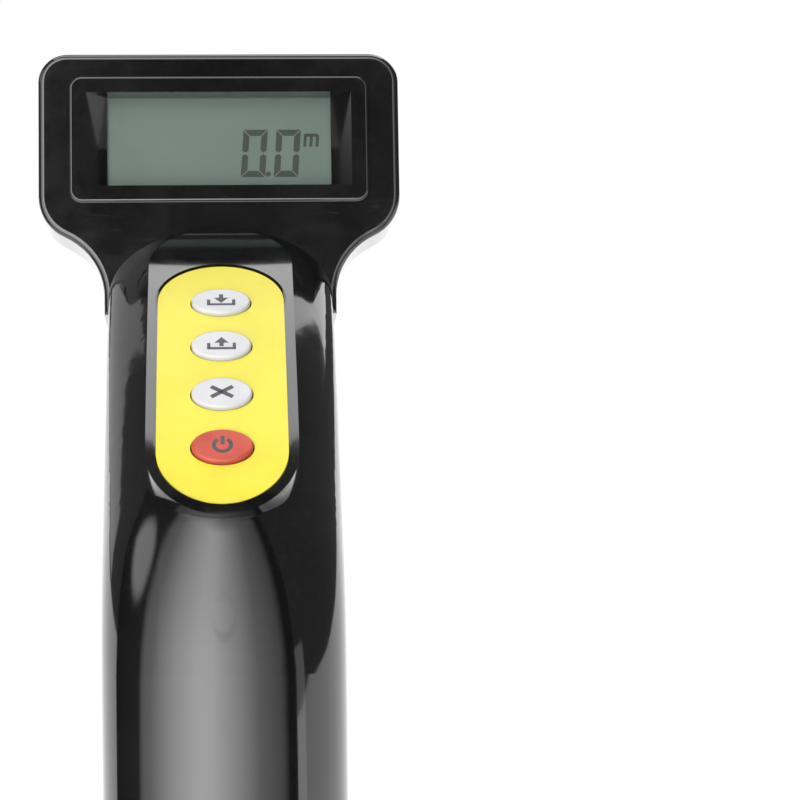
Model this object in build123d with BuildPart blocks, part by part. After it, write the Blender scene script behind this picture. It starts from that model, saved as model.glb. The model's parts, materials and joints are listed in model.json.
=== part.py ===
from build123d import *
import os
from math import cos, pi, radians, sin, sqrt, tan

# Digital measuring wheel, standing on its wheel and its fold-down stand.
# Millimetres. +X is the user's right, +Y is forwards (away from the user), +Z is up.
# The origin is the point where the tyre touches the ground under the axle.

os.makedirs("parts", exist_ok=True)

# ---------------------------------------------------------------- driving dimensions
lean = 9.0                # lean of the pole towards the user, degrees
circumference = 1000.0    # one turn of the wheel measures one metre
marks_per_turn = 10       # magnets round the hub, one for each 0.1 m

tyre_width = 22.0
tyre_depth = 9.0          # radial thickness of the tyre
tyre_bead = 5.0           # height of the rib that locks the tyre in the rim
groove_width = 2.4
groove_depth = 2.2
tread_count = 60
rim_depth = 7.0
rim_width = 18.0
spoke_count = 5
spoke_width = 17.0
spoke_web = 5.0
hub_r = 21.0
hub_width = 28.0
hub_flange_r = 42.0
hub_flange_wall = 4.0

axle_r = 4.0
bearing_r = 11.0
bearing_width = 7.0
ball_r = 1.9
ball_count = 7
magnet_r = 3.0
magnet_length = 3.0
magnet_circle_r = 34.0

fork_gap = 48.0           # clear width between the two arms
arm_wall = 4.0
arm_width = 24.0
tyre_clearance = 20.8     # from the tyre up to the crown's underside
crown_height = 44.0
tube_seat_height = 20.0   # from the crown's underside up to the lower tube's end
crown_depth = 36.0
fork_bolt_r = 2.5
bolt_land = 0.3           # from the bolts' tips in to the lower tube's seat

upper_tube_r = 10.0
tube_wall = 1.4
bush_wall = 1.1           # radial room for the two bushes between the tubes
lower_tube_length = 255.0
tube_overlap = 46.0       # length of upper tube still inside the lower one when drawn out
drawn_length = 235.0      # from the lower tube's mouth to the handle, drawn out
bush_rim = 2.0
stop_room = 4.0
collar_wall = 3.5
collar_height = 30.0

stand_up = 100.0          # stand pivot, along the pole from the axle
stand_back = 24.0         # stand pivot, behind the pole's centre line
stand_rod_r = 3.5
stand_reach = 142.0       # from the pivot back to the stand's cross bar
stand_half_width = 78.0
stand_bend_r = 16.0
sleeve_wall = 2.0

face_tilt = 7.0           # the display face leans back from the sight line, degrees
sight_tilt = 9.0          # the sight line comes down onto the display, degrees
head_half_width = 36.1
head_above = 34.6         # display face above the point where the grip's crown meets it
head_straight = 29.0
head_thick = 17.0
head_corner_r = 5.8
cheek_r = 9.0             # rounded lower corner of the head
flare_r = 13.5            # hollow flare from the head into the neck
flare_turn = 65.0
edge_r = 1.2
wall = 2.4

bezel_width = 59.6
bezel_height = 25.4
bezel_rise = 0.8
bezel_corner_r = 2.4
bezel_edge_r = 0.4
bezel_below_top = 17.6
window_width = 53.0
window_height = 19.0
lcd_width = 45.0
lcd_height = 18.4
recess_depth = 3.2

ramp_r = 230.6            # keypad ramp, shoulder and grip are three tangent arcs
ramp_start = 59.5
shoulder_start = 40.0
shoulder_r = 56.0
grip_start = 3.0
grip_r = 224.0
grip_half_width = 22.15
neck_crown = 10.5         # crown above the widest line, at the neck
neck_belly = 12.0         # underside below the widest line, at the neck
grip_crown = 19.0
grip_belly = 20.0
pod_rise = 1.0

plate_width = 24.0
plate_length = 65.4
plate_start = 17.0        # along the crown from the display face
plate_thick = 1.0
plate_sunk = 0.4
plate_gap = 0.45
pod_rim = 1.9
pod_nose = 14.3
key_count = 4
key_end = 12.75           # from the plate's end to the nearest key's centre
key_space = 5.5           # plate left between one key and the next
key_width = 11.2
key_proud = 0.9
key_travel = 0.8
key_gap = 0.25
key_edge_r = 0.5
key_flange = 1.0
key_flange_thick = 0.8

cell_r = 5.25
cell_length = 44.5
door_side = 0.9           # door opening past the battery tray, each side
door_length = 50.0
door_station = 139.0      # centre of the battery door, along the crown
door_gap = 0.35
cell_depth = 26.6         # centre of the cells below the crown
screw_r = 1.5
screw_head_r = 2.8
tube_in_handle = 22.0

lead_r = 1.5
coil_r = 4.5

touch_gap = 0.3           # between parts that move past each other
shaft_gap = 0.05          # radial clearance of a pin or shaft in its hole

wheel_r = circumference / (2 * pi)
crown_base = wheel_r + tyre_clearance
tube_seat = crown_base + tube_seat_height
lower_bore_r = upper_tube_r + bush_wall
lower_tube_r = lower_bore_r + tube_wall
lower_tube_top = tube_seat + lower_tube_length
pole_length = lower_tube_top + drawn_length
pole_travel = lower_tube_length - tube_overlap - bush_rim - stop_room
key_first = plate_start + key_end
key_pitch = (plate_length - 2 * key_end) / (key_count - 1)
key_height = key_pitch - key_space
tilt = radians(lean)
pole_up = Vector(0, -sin(tilt), cos(tilt))
pole_front = Vector(0, cos(tilt), sin(tilt))


def on_pole(up, front=0.0, side=0.0):
    """Point at a height along the pole, in front of its centre line and to one side."""
    return Vector(side, 0, wheel_r) + pole_up * up + pole_front * front


def pole_plane(up, front=0.0, side=0.0):
    """Plane square to the pole: local x is +X, local y is forwards."""
    return Plane(origin=on_pole(up, front, side), x_dir=(1, 0, 0), z_dir=pole_up)


def pole_side(side=0.0):
    """Plane square to X: local x is forwards of the pole, local y is up the pole."""
    return Plane(origin=on_pole(0, 0, side), x_dir=pole_front, z_dir=(1, 0, 0))


def save(piece, name):
    piece.part.label = name
    export_step(piece.part, "parts/" + name + ".step")
    box = piece.part.bounding_box()
    size = (round(box.size.X, 1), round(box.size.Y, 1), round(box.size.Z, 1))
    print(name, len(piece.part.solids()), "solid(s)", size)


# ---------------------------------------------------------------- handle lines
sight = radians(sight_tilt)
view_up = Vector(0, sin(sight), cos(sight))
view_near = Vector(0, -cos(sight), sin(sight))
grip_end = -(lean + sight_tilt)   # the handle's end is square to the pole
arc_lines = [
    (ramp_r, ramp_start, shoulder_start),
    (shoulder_r, shoulder_start, grip_start),
    (grip_r, grip_start, grip_end),
]
arc_lengths = [radius * radians(first - last) for radius, first, last in arc_lines]
crown_length = sum(arc_lengths)


def crown_local(station):
    """Crown of the handle at a distance from the display face: near, up and heading."""
    near, up, left = 0.0, 0.0, station
    heading = radians(ramp_start)
    if station < 0:
        return station * sin(heading), -station * cos(heading), heading
    for (radius, first, last), length in zip(arc_lines, arc_lengths):
        step = min(left, length)
        turned = heading - step / radius
        near += radius * (cos(turned) - cos(heading))
        up -= radius * (sin(heading) - sin(turned))
        heading = turned
        left -= step
        if left <= 0:
            break
    near += left * sin(heading)
    up -= left * cos(heading)
    return near, up, heading


def crown_inset(station, depth):
    """Side-view point at a depth under the crown."""
    near, up, heading = crown_local(station)
    return near - depth * cos(heading), up - depth * sin(heading)


end_depth = (grip_crown + grip_belly) / 2 + pod_rise
end_near, end_up = crown_inset(crown_length, end_depth)
face_root = on_pole(pole_length) - view_near * end_near - view_up * end_up


def handle_point(near, up, side=0.0):
    return face_root + view_near * near + view_up * up + Vector(side, 0, 0)


def crown_world(station, depth=0.0, side=0.0):
    near, up = crown_inset(station, depth)
    return handle_point(near, up, side)


def crown_normal(station):
    heading = crown_local(station)[2]
    return view_near * cos(heading) + view_up * sin(heading)


def crown_plane(station, depth=0.0, side=0.0):
    """Plane lying on the crown: local y runs up the ramp, local z points out of it."""
    return Plane(origin=crown_world(station, depth, side), x_dir=(1, 0, 0), z_dir=crown_normal(station))


def section_plane(station, depth):
    """Plane across the handle: local y points out of the crown."""
    normal = crown_normal(station)
    return Plane(origin=crown_world(station, depth), x_dir=(1, 0, 0), z_dir=Vector(1, 0, 0).cross(normal))


side_view = Plane(origin=face_root, x_dir=view_near, z_dir=(-1, 0, 0))
face_normal = view_near * cos(radians(face_tilt)) + view_up * sin(radians(face_tilt))
face_plane = Plane(origin=face_root, x_dir=(1, 0, 0), z_dir=face_normal)


def blend_share(station):
    """0 at the neck, 1 where the shoulder starts, with an even run between."""
    share = min(max(station / arc_lengths[0], 0.0), 1.0)
    return share * share * (3 - 2 * share)


def crown_rise(station):
    return neck_crown + (grip_crown - neck_crown) * blend_share(station)


def belly_drop(station):
    return neck_belly + (grip_belly - neck_belly) * blend_share(station)


ramp_stations = [-5.0, arc_lengths[0] * 0.35, arc_lengths[0] * 0.7, arc_lengths[0]]


def handle_oval(station, inset):
    """Oval across the handle, two half ellipses that meet on the widest line."""
    half = grip_half_width - inset
    with BuildSketch() as oval:
        with BuildLine():
            EllipticalCenterArc((0, 0), half, crown_rise(station) - inset, 0, arc_size=180)
            EllipticalCenterArc((0, 0), half, belly_drop(station) - inset, 180, arc_size=180)
        make_face()
    return oval.sketch


def oval_plane(station):
    return section_plane(station, pod_rise + crown_rise(station))


def head_outline(inset):
    """Display head seen square on, with cheeks that flare into the neck."""
    half = head_half_width - inset
    top = head_above - inset
    cheek = cheek_r - inset
    flare = flare_r + inset
    turn = radians(flare_turn)
    cheek_x = half - cheek
    cheek_y = head_above - head_straight
    flare_x = cheek_x + (cheek + flare) * cos(turn)
    flare_y = cheek_y - (cheek + flare) * sin(turn)
    corner = head_corner_r - inset
    foot_x = flare_x - flare
    foot_y = flare_y - 3.5
    with BuildSketch() as outline:
        with BuildLine():
            for sign in (1, -1):
                ThreePointArc(
                    (sign * (half - corner), top),
                    (sign * (half - corner * (1 - sqrt(0.5))), top - corner * (1 - sqrt(0.5))),
                    (sign * half, top - corner),
                )
                Line((sign * half, top - corner), (sign * half, cheek_y))
                ThreePointArc(
                    (sign * half, cheek_y),
                    (sign * (cheek_x + cheek * cos(turn / 2)), cheek_y - cheek * sin(turn / 2)),
                    (sign * (cheek_x + cheek * cos(turn)), cheek_y - cheek * sin(turn)),
                )
                ThreePointArc(
                    (sign * (cheek_x + cheek * cos(turn)), cheek_y - cheek * sin(turn)),
                    (sign * (flare_x - flare * cos(turn / 2)), flare_y + flare * sin(turn / 2)),
                    (sign * foot_x, flare_y),
                )
                Line((sign * foot_x, flare_y), (sign * foot_x, foot_y))
            Line((-(half - corner), top), (half - corner, top))
            Line((-foot_x, foot_y), (foot_x, foot_y))
        make_face()
    return outline.sketch


def crown_strip(depth_top, depth_bottom, first, last):
    """Side view of a strip that follows the crown between two depths."""
    split_at = arc_lengths[0]
    ramp_last = min(last, split_at)
    with BuildSketch() as strip:
        with BuildLine():
            for depth in (depth_top, depth_bottom):
                ThreePointArc(
                    crown_inset(first, depth),
                    crown_inset((first + ramp_last) / 2, depth),
                    crown_inset(ramp_last, depth),
                )
                if last > split_at:
                    ThreePointArc(
                        crown_inset(split_at, depth),
                        crown_inset((split_at + last) / 2, depth),
                        crown_inset(last, depth),
                    )
            Line(crown_inset(first, depth_top), crown_inset(first, depth_bottom))
            Line(crown_inset(last, depth_top), crown_inset(last, depth_bottom))
        make_face()
    return strip.sketch


plate_end = plate_start + plate_length
pod_mid = (plate_start + plate_end) / 2
pod_plane = crown_plane(pod_mid)


def pod_height(station):
    """Height of a crown station in the plane that lies on the middle of the pod."""
    return pod_plane.to_local_coords(crown_world(station)).Y


def pod_oval(first, last, width):
    """Long round-ended outline on the pod, between two crown stations."""
    high = pod_height(first)
    low = pod_height(last)
    with BuildSketch() as outline:
        with Locations((0, (high + low) / 2)):
            SlotOverall(high - low, width, rotation=90)
    return outline.sketch


print("handle blanks")
bend_starts = [sum(arc_lengths[:k]) for k in range(3)]


def bend_axis(number):
    """Axis across the handle through the centre of one of the crown's arcs."""
    return Axis(crown_world(bend_starts[number], arc_lines[number][0]), (1, 0, 0))


with BuildPart() as grip_blank:
    for station in ramp_stations:
        with BuildSketch(oval_plane(station)):
            add(handle_oval(station, 0))
    loft()
    for number in (1, 2):
        with BuildSketch(oval_plane(bend_starts[number])):
            add(handle_oval(bend_starts[number], 0))
        revolve(axis=bend_axis(number), revolution_arc=arc_lines[number][1] - arc_lines[number][2])

with BuildPart() as grip_cavity:
    for station in ramp_stations:
        with BuildSketch(oval_plane(station)):
            add(handle_oval(station, wall))
    loft()
    for number in (1, 2):
        with BuildSketch(oval_plane(bend_starts[number])):
            add(handle_oval(bend_starts[number], wall))
        revolve(axis=bend_axis(number), revolution_arc=arc_lines[number][1] - arc_lines[number][2])

face_axis = Axis(face_root, face_normal)
bezel_y = head_above - bezel_below_top
with BuildPart() as head_blank:
    with BuildSketch(face_plane.offset(-head_thick)):
        add(head_outline(0))
    extrude(amount=head_thick)
    front_edges = head_blank.faces().sort_by(face_axis)[-1].edges()
    back_edges = head_blank.faces().sort_by(face_axis)[0].edges()
    fillet(front_edges, edge_r)
    fillet(back_edges, edge_r * 2)
    with BuildSketch(face_plane):
        with Locations((0, bezel_y)):
            RectangleRounded(bezel_width, bezel_height, bezel_corner_r)
    extrude(amount=bezel_rise)
    fillet(head_blank.faces().sort_by(face_axis)[-1].edges(), bezel_edge_r)

pod_first = plate_start - pod_nose
pod_last = plate_end + 2.6
with BuildPart() as pod_blank:
    with BuildSketch(side_view.offset(-plate_width)):
        add(crown_strip(0, 6.5, pod_first - 3, pod_last + 3))
    extrude(amount=2 * plate_width)
    with BuildSketch(pod_plane.offset(-plate_width)):
        add(pod_oval(pod_first, pod_last, plate_width + 2 * pod_rim))
    extrude(amount=2 * plate_width, mode=Mode.INTERSECT)

cut_half = 60.0           # half width of the block that parts the two shells
seam_depth = 7.5
seam_tail = 30.0


def face_point(height, depth):
    """Side-view point at a height up the display face and a depth behind it."""
    slope = radians(face_tilt)
    return -height * sin(slope) - depth * cos(slope), height * cos(slope) - depth * sin(slope)


def widest(station):
    return crown_inset(station, pod_rise + crown_rise(station))


def front_half():
    """Side view of everything in front of the seam between the two shells."""
    ramp_end = arc_lengths[0]
    grip_first = ramp_end + arc_lengths[1]
    tail = crown_inset(crown_length + seam_tail, pod_rise + grip_crown)
    head_up = face_point(head_above + seam_tail, seam_depth)
    near = 150.0
    with BuildSketch() as half:
        with BuildLine():
            Line((near, head_up[1]), head_up)
            Line(head_up, face_point(-3, seam_depth))
            Spline(
                face_point(-3, seam_depth),
                widest(ramp_end * 0.25),
                widest(ramp_end * 0.6),
                widest(ramp_end),
                tangents=[
                    (sin(radians(face_tilt)), -cos(radians(face_tilt))),
                    (sin(radians(shoulder_start)), -cos(radians(shoulder_start))),
                ],
            )
            ThreePointArc(widest(ramp_end), widest((ramp_end + grip_first) / 2), widest(grip_first))
            ThreePointArc(widest(grip_first), widest((grip_first + crown_length) / 2), widest(crown_length))
            Line(widest(crown_length), tail)
            Line(tail, (near, tail[1]))
            Line((near, tail[1]), (near, head_up[1]))
        make_face()
    return half.sketch


def arc_strip(depth_top, depth_bottom, first, last, half_width):
    """Bar that follows the crown between two depths."""
    with BuildPart() as strip:
        with BuildSketch(side_view.offset(-half_width)):
            add(crown_strip(depth_top, depth_bottom, first, last))
        extrude(amount=2 * half_width)
    return strip.part


# ---------------------------------------------------------------- display stack and screws
glass_thick = 0.8
lcd_thick = 2.2
lcd_module = (49.0, 22.4)
carrier_size = (54.0, 27.0)
lcd_back = recess_depth + glass_thick + lcd_thick
carrier_wall_depth = lcd_back + 0.6
board_bolt_r = 1.0
board_bolt_x = 22.0
board_bolt_y = bezel_y - (carrier_size[1] + lcd_module[1]) / 4
board_bolt_places = [(board_bolt_x, board_bolt_y), (-board_bolt_x, board_bolt_y)]
board_depth = 8.8
board_thick = 1.6
board_size = (55.0, 30.0)
board_y = 15.6
boss_r = 2.7
head_screw_x = 30.6
head_screw_y = 26.4
shoulder_screw_station = 93.0
shoulder_screw_x = 12.0
screw_seat = 3.2          # thickness of shell under a screw head
screw_length = 12.0

head_screw_places = [(head_screw_x, head_screw_y), (-head_screw_x, head_screw_y)]


def shoulder_screw_plane(side):
    depth = pod_rise + grip_crown + grip_belly * sqrt(1 - (shoulder_screw_x / grip_half_width) ** 2)
    return crown_plane(shoulder_screw_station, depth, side)


shoulder_planes = [shoulder_screw_plane(shoulder_screw_x), shoulder_screw_plane(-shoulder_screw_x)]

with BuildPart() as inner_space:
    add(grip_cavity.part)
    with BuildSketch(face_plane.offset(wall - head_thick)):
        add(head_outline(wall))
    extrude(amount=head_thick - 2 * wall)
    add(arc_strip(pod_rise + wall, 8.0, plate_start + 4, plate_end - 4, 9.0))
    with BuildSketch(face_plane.offset(-recess_depth)):
        with Locations((0, bezel_y)):
            Rectangle(window_width + 4, window_height + 4)
    extrude(amount=recess_depth, mode=Mode.SUBTRACT)
    with BuildSketch(face_plane.offset(-head_thick)):
        with Locations(*head_screw_places):
            Circle(boss_r)
    extrude(amount=head_thick, mode=Mode.SUBTRACT)
    with BuildSketch(face_plane.offset(-head_thick)):
        with Locations(*head_screw_places):
            Circle(screw_head_r + 1.4)
    extrude(amount=head_thick - board_depth - board_thick - 0.8, mode=Mode.SUBTRACT)
    for place in shoulder_planes:
        with BuildSketch(place):
            Circle(boss_r)
        extrude(amount=pod_rise + grip_crown + grip_belly, mode=Mode.SUBTRACT)

cell_spacing = 2 * cell_r + 0.6
tray_wall = 1.0
tray_half_width = cell_spacing / 2 + cell_r + 0.3 + tray_wall
door_width = 2 * (tray_half_width + door_side)
door_prism_plane = crown_plane(door_station)
door_reach = pod_rise + grip_crown + grip_belly + 10
door_floor = pod_rise + grip_crown + 6


def door_block(gap):
    with BuildPart() as block:
        with BuildSketch(door_prism_plane.offset(-door_reach)):
            RectangleRounded(door_width - 2 * gap, door_length - 2 * gap, 3 - gap)
        extrude(amount=door_reach - door_floor)
    return block.part


plate_floor = plate_sunk + plate_thick
well_top = 2.0            # key openings are cut from here above the crown
well_depth = 8.0
key_stations = [key_first + key_pitch * number for number in range(key_count)]
key_names = ["key_store", "key_recall", "key_clear", "key_power"]


def oval_block(depth_top, depth_bottom, first, last, width):
    """Round-ended slab on the pod that follows the crown between two depths."""
    with BuildPart() as block:
        with BuildSketch(side_view.offset(-plate_width)):
            add(crown_strip(depth_top, depth_bottom, first - 3, last + 3))
        extrude(amount=2 * plate_width)
        with BuildSketch(pod_plane.offset(-plate_width)):
            add(pod_oval(first, last, width))
        extrude(amount=2 * plate_width, mode=Mode.INTERSECT)
    return block.part


def key_shaft(station, gap, top, bottom):
    """Upright oval for one key, from a height above the crown down to a depth."""
    with BuildPart() as shaft:
        with BuildSketch(crown_plane(station, bottom)):
            Ellipse(key_width / 2 + gap, key_height / 2 + gap)
        extrude(amount=bottom + top)
    return shaft.part


print("handle shells")
pocket_width = plate_width + 2 * plate_gap
plate_pocket = oval_block(-3, plate_floor, plate_start - plate_gap, plate_end + plate_gap, pocket_width)
with BuildPart() as shell_blank:
    add(grip_blank.part)
    add(head_blank.part)
    add(pod_blank.part)
    add(inner_space.part, mode=Mode.SUBTRACT)

with BuildPart() as front_shell:
    add(shell_blank.part)
    with BuildSketch(side_view.offset(-cut_half)):
        add(front_half())
    extrude(amount=2 * cut_half, mode=Mode.INTERSECT)
    with BuildSketch(face_plane.offset(bezel_rise)):
        with Locations((0, bezel_y)):
            Rectangle(window_width, window_height)
    with BuildSketch(face_plane.offset(-recess_depth)):
        with Locations((0, bezel_y)):
            Rectangle(lcd_width, lcd_height)
    loft(mode=Mode.SUBTRACT)
    with BuildSketch(face_plane.offset(-head_thick)):
        with Locations(*head_screw_places):
            Circle(screw_r + shaft_gap)
    extrude(amount=head_thick - wall - 1, mode=Mode.SUBTRACT)
    for place in shoulder_planes:
        with BuildSketch(place):
            Circle(screw_r + shaft_gap)
        extrude(amount=screw_seat + screw_length + 12, mode=Mode.SUBTRACT)
    # pocket for the keypad plate, and one opening under it for each key
    add(plate_pocket, mode=Mode.SUBTRACT)
    for station in key_stations:
        add(key_shaft(station, key_gap, well_top, well_depth), mode=Mode.SUBTRACT)

with BuildPart() as rear_shell:
    add(shell_blank.part)
    with BuildSketch(side_view.offset(-cut_half)):
        add(front_half())
    extrude(amount=2 * cut_half, mode=Mode.SUBTRACT)
    with BuildSketch(face_plane.offset(-head_thick)):
        with Locations(*head_screw_places):
            Circle(screw_head_r + 0.2)
    extrude(amount=head_thick - screw_seat - seam_depth - 3, mode=Mode.SUBTRACT)
    with BuildSketch(face_plane.offset(-head_thick)):
        with Locations(*head_screw_places):
            Circle(screw_r + shaft_gap)
    extrude(amount=head_thick, mode=Mode.SUBTRACT)
    for place in shoulder_planes:
        with BuildSketch(place.offset(-2)):
            Circle(screw_head_r + 0.2)
        extrude(amount=6, mode=Mode.SUBTRACT)
        with BuildSketch(place):
            Circle(screw_r + shaft_gap)
        extrude(amount=screw_seat + screw_length + 12, mode=Mode.SUBTRACT)
    add(door_block(0), mode=Mode.SUBTRACT)
save(front_shell, "front_shell")
save(rear_shell, "rear_shell")

print("display")
with BuildPart() as display_window:
    with BuildSketch(face_plane.offset(-recess_depth - glass_thick)):
        with Locations((0, bezel_y)):
            Rectangle(*lcd_module)
    extrude(amount=glass_thick)
save(display_window, "display_window")

with BuildPart() as lcd_panel:
    with BuildSketch(face_plane.offset(-lcd_back)):
        with Locations((0, bezel_y)):
            Rectangle(*lcd_module)
    extrude(amount=lcd_thick)
save(lcd_panel, "lcd_panel")

with BuildPart() as lcd_carrier:
    with BuildSketch(face_plane.offset(-carrier_wall_depth)):
        with Locations((0, bezel_y)):
            RectangleRounded(*carrier_size, 1.5)
            Rectangle(*lcd_module, mode=Mode.SUBTRACT)
    extrude(amount=carrier_wall_depth - recess_depth)
    with BuildSketch(face_plane.offset(-carrier_wall_depth)):
        with Locations((0, bezel_y)):
            Rectangle(*lcd_module)
            Rectangle(lcd_module[0] - 3, lcd_module[1] - 6, mode=Mode.SUBTRACT)
    extrude(amount=carrier_wall_depth - lcd_back)
    with BuildSketch(face_plane.offset(-carrier_wall_depth)):
        with Locations(*board_bolt_places):
            Circle(board_bolt_r + shaft_gap)
    extrude(amount=carrier_wall_depth - recess_depth, mode=Mode.SUBTRACT)
save(lcd_carrier, "lcd_carrier")

contact_strip = (44.0, 2.0)
with BuildPart() as lcd_connector:
    with BuildSketch(face_plane.offset(-board_depth)):
        with Locations((0, bezel_y + lcd_module[1] / 2 - 4.2), (0, bezel_y - lcd_module[1] / 2 + 4.2)):
            Rectangle(*contact_strip)
    extrude(amount=board_depth - lcd_back)
save(lcd_connector, "lcd_connector")

with BuildPart() as main_board:
    with BuildSketch(face_plane.offset(-board_depth - board_thick)):
        with Locations((0, board_y)):
            RectangleRounded(*board_size, 1.0)
        with Locations(*board_bolt_places):
            Circle(board_bolt_r + shaft_gap, mode=Mode.SUBTRACT)
    extrude(amount=board_thick)
save(main_board, "main_board")

chip_base = board_depth + board_thick
with BuildPart() as controller_chip:
    with BuildSketch(face_plane.offset(-chip_base - 1.4)):
        with Locations((-6, board_y + 2)):
            Rectangle(10, 10)
    extrude(amount=1.4)
    chamfer(controller_chip.faces().sort_by(face_axis)[0].edges(), 0.25)
save(controller_chip, "controller_chip")

with BuildPart() as board_parts:
    with BuildSketch(face_plane.offset(-chip_base - 1.8)):
        with Locations((9, board_y + 7), (14, board_y + 7), (19, board_y + 7)):
            Circle(2.0)
    extrude(amount=1.8)
    with BuildSketch(face_plane.offset(-chip_base - 1.2)):
        with GridLocations(4.5, 4.0, 4, 2):
            with Locations((13, board_y - 3)):
                Rectangle(2.0, 1.2)
    extrude(amount=1.2)
save(board_parts, "board_parts")

plug_size = (9.0, 4.0)
plug_place = (-14.0, 4.6)
plug_height = 3.6
with BuildPart() as lead_plug:
    with BuildSketch(face_plane.offset(-chip_base - plug_height)):
        with Locations(plug_place):
            RectangleRounded(*plug_size, 0.5)
    extrude(amount=plug_height)
save(lead_plug, "lead_plug")

with BuildPart() as board_screws:
    with BuildSketch(face_plane.offset(-chip_base - 1.2)):
        with Locations(*board_bolt_places):
            Circle(2 * board_bolt_r)
    extrude(amount=1.2)
    with BuildSketch(face_plane.offset(-chip_base)):
        with Locations(*board_bolt_places):
            Circle(board_bolt_r)
    extrude(amount=chip_base - recess_depth - 0.5)
save(board_screws, "board_screws")

board_post_r = 2.4
with BuildPart() as board_posts:
    with BuildSketch(face_plane.offset(-board_depth)):
        with Locations(*board_bolt_places):
            Circle(board_post_r)
            Circle(board_bolt_r + shaft_gap, mode=Mode.SUBTRACT)
    extrude(amount=board_depth - carrier_wall_depth)
save(board_posts, "board_posts")

print("keypad")
with BuildPart() as keypad_plate:
    add(oval_block(plate_sunk, plate_floor, plate_start, plate_end, plate_width))
    for station in key_stations:
        add(key_shaft(station, key_gap, well_top, well_depth), mode=Mode.SUBTRACT)
save(keypad_plate, "keypad_plate")

flange_depth = pod_rise + wall + 0.35
dome_depth = flange_depth + key_flange_thick + key_travel + 1.6
membrane_depth = dome_depth + 0.5
carrier_depth = membrane_depth + 0.4
pad_half = 8.5
for station, name in zip(key_stations, key_names):
    with BuildPart() as key:
        add(key_shaft(station, 0, key_proud - plate_sunk, flange_depth))
        key_axis = Axis(crown_world(station), crown_normal(station))
        fillet(key.faces().sort_by(key_axis)[-1].edges(), key_edge_r)
        with BuildSketch(crown_plane(station, flange_depth + key_flange_thick)):
            Ellipse(key_width / 2 + key_flange, key_height / 2 + key_flange)
        extrude(amount=key_flange_thick)
        with BuildSketch(crown_plane(station, dome_depth - key_travel - 0.1)):
            Circle(1.4)
        extrude(amount=dome_depth - key_travel - 0.1 - flange_depth - key_flange_thick)
    save(key, name)

with BuildPart() as dome_switches:
    for station in key_stations:
        with BuildSketch(crown_plane(station, membrane_depth - 0.05)):
            Circle(3.2)
        with BuildSketch(crown_plane(station, dome_depth)):
            Circle(1.6)
        loft()
save(dome_switches, "dome_switches")

pad_first = key_stations[0] - 8
pad_last = key_stations[-1] + 8
with BuildPart() as keypad_membrane:
    add(arc_strip(membrane_depth, carrier_depth, pad_first, pad_last, pad_half))
save(keypad_membrane, "keypad_membrane")

carrier_wall = 0.8
carrier_rail = 2.0
carrier_bar = arc_strip(carrier_depth, carrier_depth + carrier_rail, pad_first, pad_last, pad_half)
carrier_hollow = arc_strip(
    carrier_depth + carrier_wall,
    carrier_depth + carrier_rail + 1,
    pad_first + carrier_rail,
    pad_last - carrier_rail,
    pad_half - carrier_rail,
)
with BuildPart() as keypad_carrier:
    add(carrier_bar)
    add(carrier_hollow, mode=Mode.SUBTRACT)
save(keypad_carrier, "keypad_carrier")

print("battery box")
along = section_plane(door_station, cell_depth)
tray_half_length = cell_length / 2 + 2.4
tray_floor = cell_depth - cell_r - 0.3
tray_mouth = cell_depth + 4.0
terminal = 1.0
with BuildPart() as battery_cells:
    for side, way in ((1, 1), (-1, -1)):
        body_start = -way * cell_length / 2
        with BuildSketch(along.offset(body_start)):
            with Locations((side * cell_spacing / 2, 0)):
                Circle(cell_r)
        extrude(amount=way * (cell_length - terminal))
        with BuildSketch(along.offset(body_start + way * (cell_length - terminal))):
            with Locations((side * cell_spacing / 2, 0)):
                Circle(1.9)
        extrude(amount=way * terminal)
save(battery_cells, "battery_cells")

tray_plane = crown_plane(door_station, tray_mouth)
with BuildPart() as battery_tray:
    with BuildSketch(tray_plane):
        Rectangle(2 * tray_half_width, 2 * (tray_half_length + tray_wall))
    extrude(amount=tray_mouth - tray_floor + tray_wall)
    with BuildSketch(tray_plane):
        Rectangle(2 * (tray_half_width - tray_wall), 2 * tray_half_length)
    extrude(amount=tray_mouth - tray_floor, mode=Mode.SUBTRACT)
save(battery_tray, "battery_tray")

with BuildPart() as battery_contacts:
    for side in (1, -1):
        for end in (1, -1):
            wall_at = end * tray_half_length
            with BuildSketch(along.offset(wall_at)):
                with Locations((side * cell_spacing / 2, 0)):
                    Rectangle(7.0, 6.4)
            extrude(amount=-end * 0.4)
            with BuildSketch(along.offset(wall_at - end * 0.4)):
                with Locations((side * cell_spacing / 2, 0)):
                    Circle(2.3)
            with BuildSketch(along.offset(wall_at - end * 1.9)):
                with Locations((side * cell_spacing / 2, 0)):
                    Circle(1.3)
            loft()
save(battery_contacts, "battery_contacts")

groove_pitch = 3.0
with BuildPart() as battery_door:
    add(grip_blank.part)
    add(grip_cavity.part, mode=Mode.SUBTRACT)
    add(door_block(door_gap), mode=Mode.INTERSECT)
    door_skin = pod_rise + grip_crown + grip_belly
    with BuildSketch(door_prism_plane.offset(-door_skin - 2)):
        with Locations((0, -door_length / 2 + 10)):
            with GridLocations(0, groove_pitch, 1, 4):
                SlotOverall(13, 1.2)
    extrude(amount=2.5, mode=Mode.SUBTRACT)
save(battery_door, "battery_door")

with BuildPart() as housing_screws:
    head_floor = head_thick - (head_thick - screw_seat - seam_depth - 3)
    with BuildSketch(face_plane.offset(-head_floor)):
        with Locations(*head_screw_places):
            Circle(screw_head_r)
    extrude(amount=-2.0)
    with BuildSketch(face_plane.offset(-head_floor)):
        with Locations(*head_screw_places):
            Circle(screw_r)
    extrude(amount=head_floor - wall - 1.6)
    for place in shoulder_planes:
        with BuildSketch(place.offset(4)):
            Circle(screw_head_r)
        extrude(amount=-2.0)
        with BuildSketch(place.offset(4)):
            Circle(screw_r)
        extrude(amount=screw_seat + screw_length)
save(housing_screws, "housing_screws")

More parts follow.
